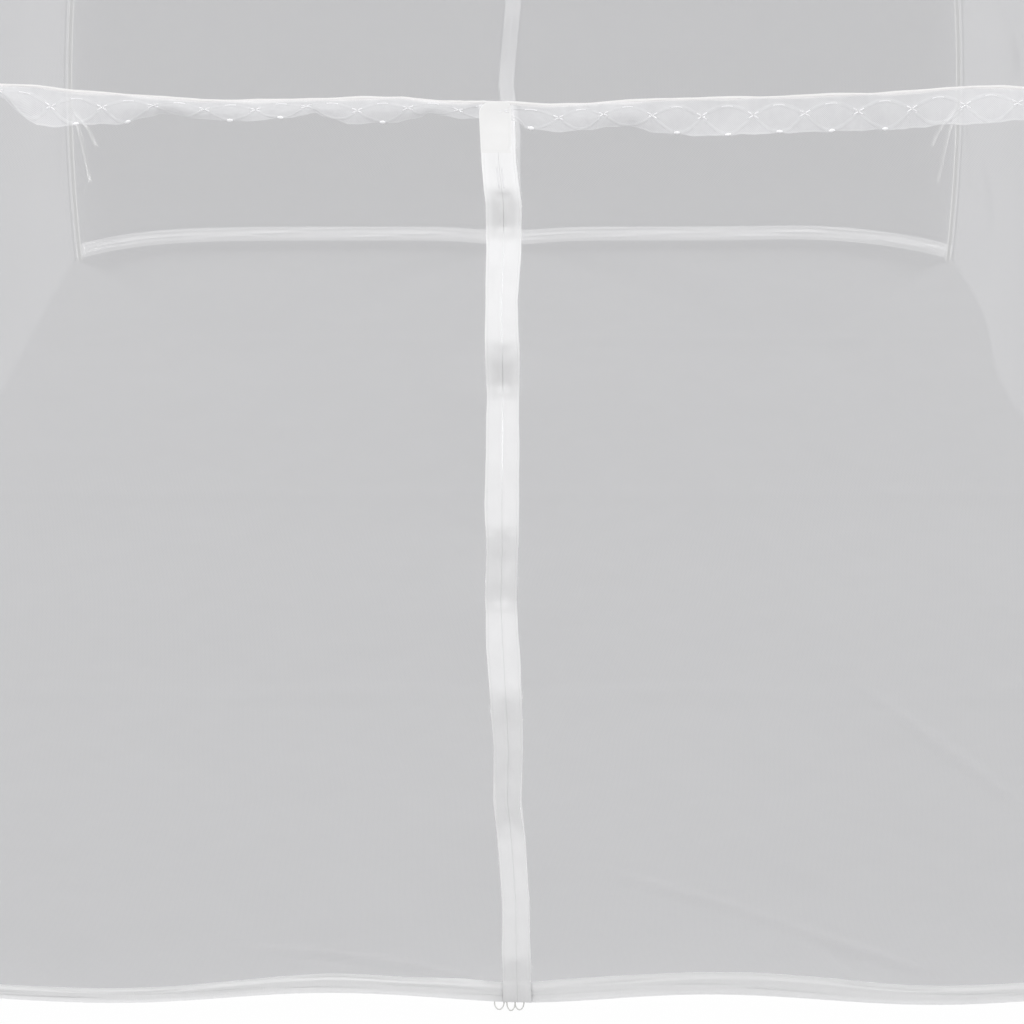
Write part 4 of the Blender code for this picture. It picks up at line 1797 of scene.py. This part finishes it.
@dataclass
class Frame:
    """The two crossing hoops."""

    shape: NetShape
    finish: bpy.types.Material
    radius: float = 0.0040
    clearance: float = 0.0020
    foot: float = 0.020
    crossing_reach: float = 0.30
    steps: int = 70

    @property
    def lift(self) -> float:
        """How far a hoop's middle is inside the cloth."""
        return -(self.shape.net_thick / 2 + self.clearance + self.radius)

    def point(self, turn: Array, east: int, north: int) -> Array:
        """Points of a hoop's middle line inside one corner line.

        Args:
            turn: Their turns.
            east: The sign of the corner's X.
            north: The sign of its Y.

        Returns:
            The points.
        """
        at = self.shape.level(np.atleast_1d(turn))
        inset = at.normal_out * self.lift
        wide = self.shape.half_width * at.share + inset
        deep = self.shape.half_depth * at.share + inset
        rise = at.height + at.normal_up * self.lift
        return np.stack([east * wide, north * deep, rise], axis=1)

    def build(self) -> None:
        """Make both hoops, the lower one dipping under the other where they cross."""
        under = 2 * self.radius + self.shape.gap
        start = float(self.shape.turn_at(np.array(self.foot)))
        for node, north, dip in (("hoop_upper", 1, 0.0), ("hoop_lower", -1, under)):
            arm = self.point(np.linspace(start, 1.0, self.steps), 1, north)
            foot = np.array([[arm[0, 0], arm[0, 1], self.shape.wall_foot]])
            arm = np.concatenate([foot, arm])
            other = arm * (-1, -1, 1)
            route = np.concatenate([arm, other[::-1][1:]])
            near = np.minimum(1.0, np.hypot(route[:, 0], route[:, 1]) / self.crossing_reach)
            route[:, 2] -= dip * np.cos(math.pi / 2 * near) ** 2
            piece = tubes(node.replace("hoop", "rod"), [route], self.radius, sides=5)
            own(piece, self.finish, [node], key_lit=False)


class Knot(NamedTuple):
    """Where a tie goes round its hoop: the loop's middle, the hoop's direction, the two
    directions across it, and the loop's inside radius."""

    centre: Vector
    lean: Vector
    first: Vector
    second: Vector
    inner: float


@dataclass
class Ties:
    """The four tapes tied round the hoops, each with two free ends."""

    shape: NetShape
    hoops: Frame
    finish: bpy.types.Material
    height: float = 0.330
    width: float = 0.008
    thick: float = 0.0012
    end_thick: float = 0.6
    loop_thick: float = 0.8
    loop_lumps: float = 0.06
    slant: float = 0.0008
    cup: float = 0.0007
    twist: float = 0.35
    loop_cells: tuple[int, int] = (40, 6)
    route_steps: int = 8

    def build(self) -> None:
        """Make each tie's ends and its loop."""
        for corner in CORNERS:
            self.tie(corner)

    def tie(self, corner: Corner) -> None:
        """Make one tie.

        Args:
            corner: The corner that it is in.
        """
        turns = self.shape.turn_at(np.array([self.height - self.width, self.height + self.width]))
        below, above = (Vector(p) for p in self.hoops.point(turns, corner.east, corner.north))
        centre = (below + above) / 2
        lean = (above - below).normalized()
        inner = self.hoops.radius + self.shape.gap
        inward = Vector((-corner.east, -corner.north, 0)).normalized()
        sideways = Vector((-inward.y, inward.x, 0)) * (-corner.east * corner.north)
        knot = centre + inward * ((inner + self.thick) / lean.z + self.shape.gap + self.thick / 2)
        for label, route in (("long", LONG_END), ("short", SHORT_END)):
            rows = [knot + inward * a + sideways * b - Vector((0, 0, c)) for a, b, c in route]
            path = self.smooth(np.array([row[:] for row in rows]))
            place = partial(self.end, path, sideways, inward)
            name, cells = f"tape_{corner.label}_{label}", (4, len(path) - 1)
            piece = cloth(name, cells, place, self.thick * self.end_thick)
            own(piece, self.finish, [f"tie_{corner.label}_{label}_end"])
        first = (inward - lean * inward.dot(lean)).normalized()
        place = partial(self.loop, Knot(centre, lean, first, lean.cross(first), inner))
        thick = self.thick * self.loop_thick
        piece = cloth(f"loop_{corner.label}", self.loop_cells, place, thick)
        own(piece, self.finish, [f"tie_{corner.label}_loop"])

    def loop(self, knot: Knot, u: Array, v: Array) -> Points:
        """The loop round a hoop.

        Args:
            knot: Where it is.
            u: Shares round it.
            v: Shares across the tape.

        Returns:
            Its points and their distances from the tape's edges.
        """
        turn = math.tau * u
        radius = knot.inner + self.thick * (0.5 + self.loop_lumps * np.sin(5 * turn))
        spokes = np.outer(np.cos(turn), knot.first) + np.outer(np.sin(turn), knot.second)
        rise = (v - 0.5) * self.width + self.slant * np.sin(turn)
        points = np.array(knot.centre[:]) + spokes * radius[:, None] + np.outer(rise, knot.lean)
        return points, np.minimum(v, 1 - v) * self.width

    def smooth(self, rows: Array) -> Array:
        """A smooth route through a tie's own points.

        Args:
            rows: The points.

        Returns:
            More points, from one to the next.
        """
        ends = np.concatenate([[2 * rows[0] - rows[1]], rows, [2 * rows[-1] - rows[-2]]])
        share = np.linspace(0.0, 1.0, self.route_steps, endpoint=False)[:, None]
        made = []
        for a, b, c, d in zip(ends, ends[1:], ends[2:], ends[3:]):
            cubic = -a + 3 * b - 3 * c + d
            square = 2 * a - 5 * b + 4 * c - d
            made.append(0.5 * (2 * b + (c - a) * share + square * share**2 + cubic * share**3))
        return np.concatenate([*made, rows[-1:]])

    def end(self, path: Array, sideways: Vector, inward: Vector, u: Array, v: Array) -> Points:
        """A free end, turning a little as it hangs.

        Args:
            path: Its middle line.
            sideways: The direction of its width at the knot.
            inward: The direction that it faces.
            u: Shares across it.
            v: Shares up it.

        Returns:
            Its points and their distances from the tape's edges.
        """
        steps = len(path) - 1
        row = np.rint((1 - v) * steps).astype(int)
        share = row / steps
        turn = self.twist * np.sin(math.pi * share) * share
        across = np.outer(np.cos(turn), sideways) + np.outer(np.sin(turn), inward)
        cup = self.cup * (2 * u - 1) ** 2
        points = path[row] + across * ((0.5 - u) * self.width)[:, None] + np.outer(cup, inward)
        return points, np.minimum(u, 1 - u) * self.width


# ---------------------------------------------------------------- the studio
class Lamp(NamedTuple):
    """A square soft lamp: its place, aim, size and power, and the only group that it lights."""

    name: str
    place: tuple
    aim: tuple
    size: float
    power: float
    group: str


@dataclass
class Studio:
    """The camera, the pale floor and the soft light."""

    lens: float = 59.77
    sensor: float = 36.0
    place: tuple = (-0.004, -2.2563, 1.4535)
    pitch: float = 56.86
    clip: tuple[float, float] = (0.01, 100.0)
    floor_size: float = 30.0
    floor_drop: float = 0.0004
    floor_tone: float = 0.02
    floor_glow: float = 0.98
    sky: float = 0.715
    lamps: tuple = (
        Lamp("key", (-0.3, -1.5, 9.5), (0.0, -0.8, 0.0), 3.0, 640.0, KEY_LIT),
        Lamp("far_fill", (0.0, -6.0, 3.5), (0.0, 0.9, 0.3), 2.0, 120.0, FAR_LIT),
        Lamp("from_left", (-4.2, 3.5, 1.15), (0.9, 0.2, 0.4), 1.5, 225.0, ""),
        Lamp("from_right", (4.2, 3.5, 1.15), (-0.9, 0.2, 0.4), 1.5, 210.0, ""),
    )

    def add_camera(self) -> None:
        """Make the camera that the scene is seen from."""
        data = bpy.data.cameras.new("view")
        data.lens = self.lens
        data.sensor_width = self.sensor
        data.clip_start, data.clip_end = self.clip
        camera = add("view", data)
        camera.location = self.place
        camera.rotation_euler = (math.radians(self.pitch), 0.0, 0.0)
        bpy.context.scene.camera = camera

    def build(self) -> None:
        """Make the floor and the lights."""
        deselect()
        place = (0.0, 0.0, -self.floor_drop)
        bpy.ops.mesh.primitive_plane_add(size=self.floor_size, location=place)
        floor = bpy.context.object
        floor.name = "studio_floor"
        inputs = {
            "Base Color": (self.floor_tone, self.floor_tone, self.floor_tone, 1.0),
            "Roughness": 0.9,
            "Specular IOR Level": 0.0,
            "Emission Color": (1.0, 1.0, 1.0, 1.0),
            "Emission Strength": self.floor_glow,
        }
        floor.data.materials.append(Recipe("pale_floor").surface(inputs))
        world = bpy.data.worlds.new("soft_sky")
        bpy.context.scene.world = world
        world.use_nodes = True
        ground = world.node_tree.nodes["Background"]
        ground.inputs["Color"].default_value = (1.0, 1.0, 1.0, 1.0)
        ground.inputs["Strength"].default_value = self.sky
        for lamp in self.lamps:
            self.light(lamp)
        bpy.context.scene.view_settings.view_transform = "Standard"

    def light(self, lamp: Lamp) -> None:
        """Add one lamp.

        Args:
            lamp: Its values.
        """
        light = bpy.data.lights.new(lamp.name, "AREA")
        light.shape = "SQUARE"
        light.size = lamp.size
        light.energy = lamp.power
        piece = add(lamp.name, light)
        piece.location = lamp.place
        aim = Vector(lamp.aim) - Vector(lamp.place)
        piece.rotation_euler = aim.to_track_quat("-Z", "Y").to_euler()
        if lamp.group:
            piece.light_linking.receiver_collection = bpy.data.collections[lamp.group]


# Painted shade on the front zip's tape under its packing folds: height, reach and strength.
TAPE_PAINTED_SHADE = table(Pool, (0.915, 0.045, 0.35), (0.866, 0.025, 0.8), (0.717, 0.022, 0.6))
# The colours of the trims and threads, each with its shade.
TRIM = ((0.77, 0.76, 0.76), (0.70, 0.69, 0.69))
PATCH = ((0.73, 0.725, 0.725), (0.68, 0.68, 0.68))
TIE = ((0.79, 0.79, 0.79), (0.73, 0.73, 0.73))
FRONT_BAND = ((0.86, 0.86, 0.865), (0.80, 0.80, 0.81))
# Painted light: the back band and the back zip's tapes are the front band's cloth, given a brighter
# colour to stand for light inside the net.
BACK_BAND_PAINTED_LIGHT = ((0.94, 0.94, 0.945), (0.88, 0.88, 0.89))
FRONT_TAPE = ((0.79, 0.79, 0.795), (0.73, 0.73, 0.74))
SEAM = ((0.70, 0.70, 0.71), (0.62, 0.62, 0.63))
STITCH = ((0.78, 0.78, 0.79), (0.69, 0.69, 0.71))
CORD = ((0.56, 0.56, 0.54), (0.46, 0.46, 0.45))


def main() -> None:
    """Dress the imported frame, piece by piece."""
    logging.basicConfig(level=logging.INFO, format="%(name)s: %(message)s")
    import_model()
    for group in (KEY_LIT, FAR_LIT):
        bpy.data.collections.new(group)
    shape = NetShape()
    studio = Studio()
    studio.add_camera()
    trim = WovenTrim("white_trim", *TRIM).material()
    patch = WovenTrim("zip_patch", *PATCH, relief=0.00005).material()
    seam = Thread("seam_roll", *SEAM).material()
    stitch = Thread("embroidery", *STITCH).material()
    front_band = WovenTrim("front_band", *FRONT_BAND).material()
    # Painted light: a brighter copy of the band cloth for the back band and back tapes.
    back_band_painted_light = WovenTrim("back_band_painted_light", *BACK_BAND_PAINTED_LIGHT).material()
    hoops = Frame(shape, GlassRod().material())
    tie = WovenTrim("tie_tape", *TIE).material()
    netting = Netting().material()
    front_tape = WovenTrim("zip_tape", *FRONT_TAPE, thread=0.0008, pools=TAPE_PAINTED_SHADE).material()
    # The back tapes take the back band's brighter colour, which is painted light.
    tapes = {Side.FRONT: front_tape, Side.BACK: back_band_painted_light}
    coil = Thread("zip_coil").material()
    cord = Thread("end_cord", *CORD).material()
    builders = {
        "ties": Ties(shape, hoops, tie),
        "hoops": hoops,
        "trims": Trims(shape, trim, seam),
        "walls, roof and floor": Walls(shape, netting),
        "foot bands": FootBands(shape, {Side.FRONT: front_band, Side.BACK: back_band_painted_light}),
        "zips": Zips(shape, tapes, patch, coil, cord, stitch),
        "lace": Lace(shape, Tulle().material(), stitch),
        "studio": studio,
    }
    for name, builder in builders.items():
        builder.build()
        log.info("finished the %s", name)


if __name__ == "__main__":
    main()
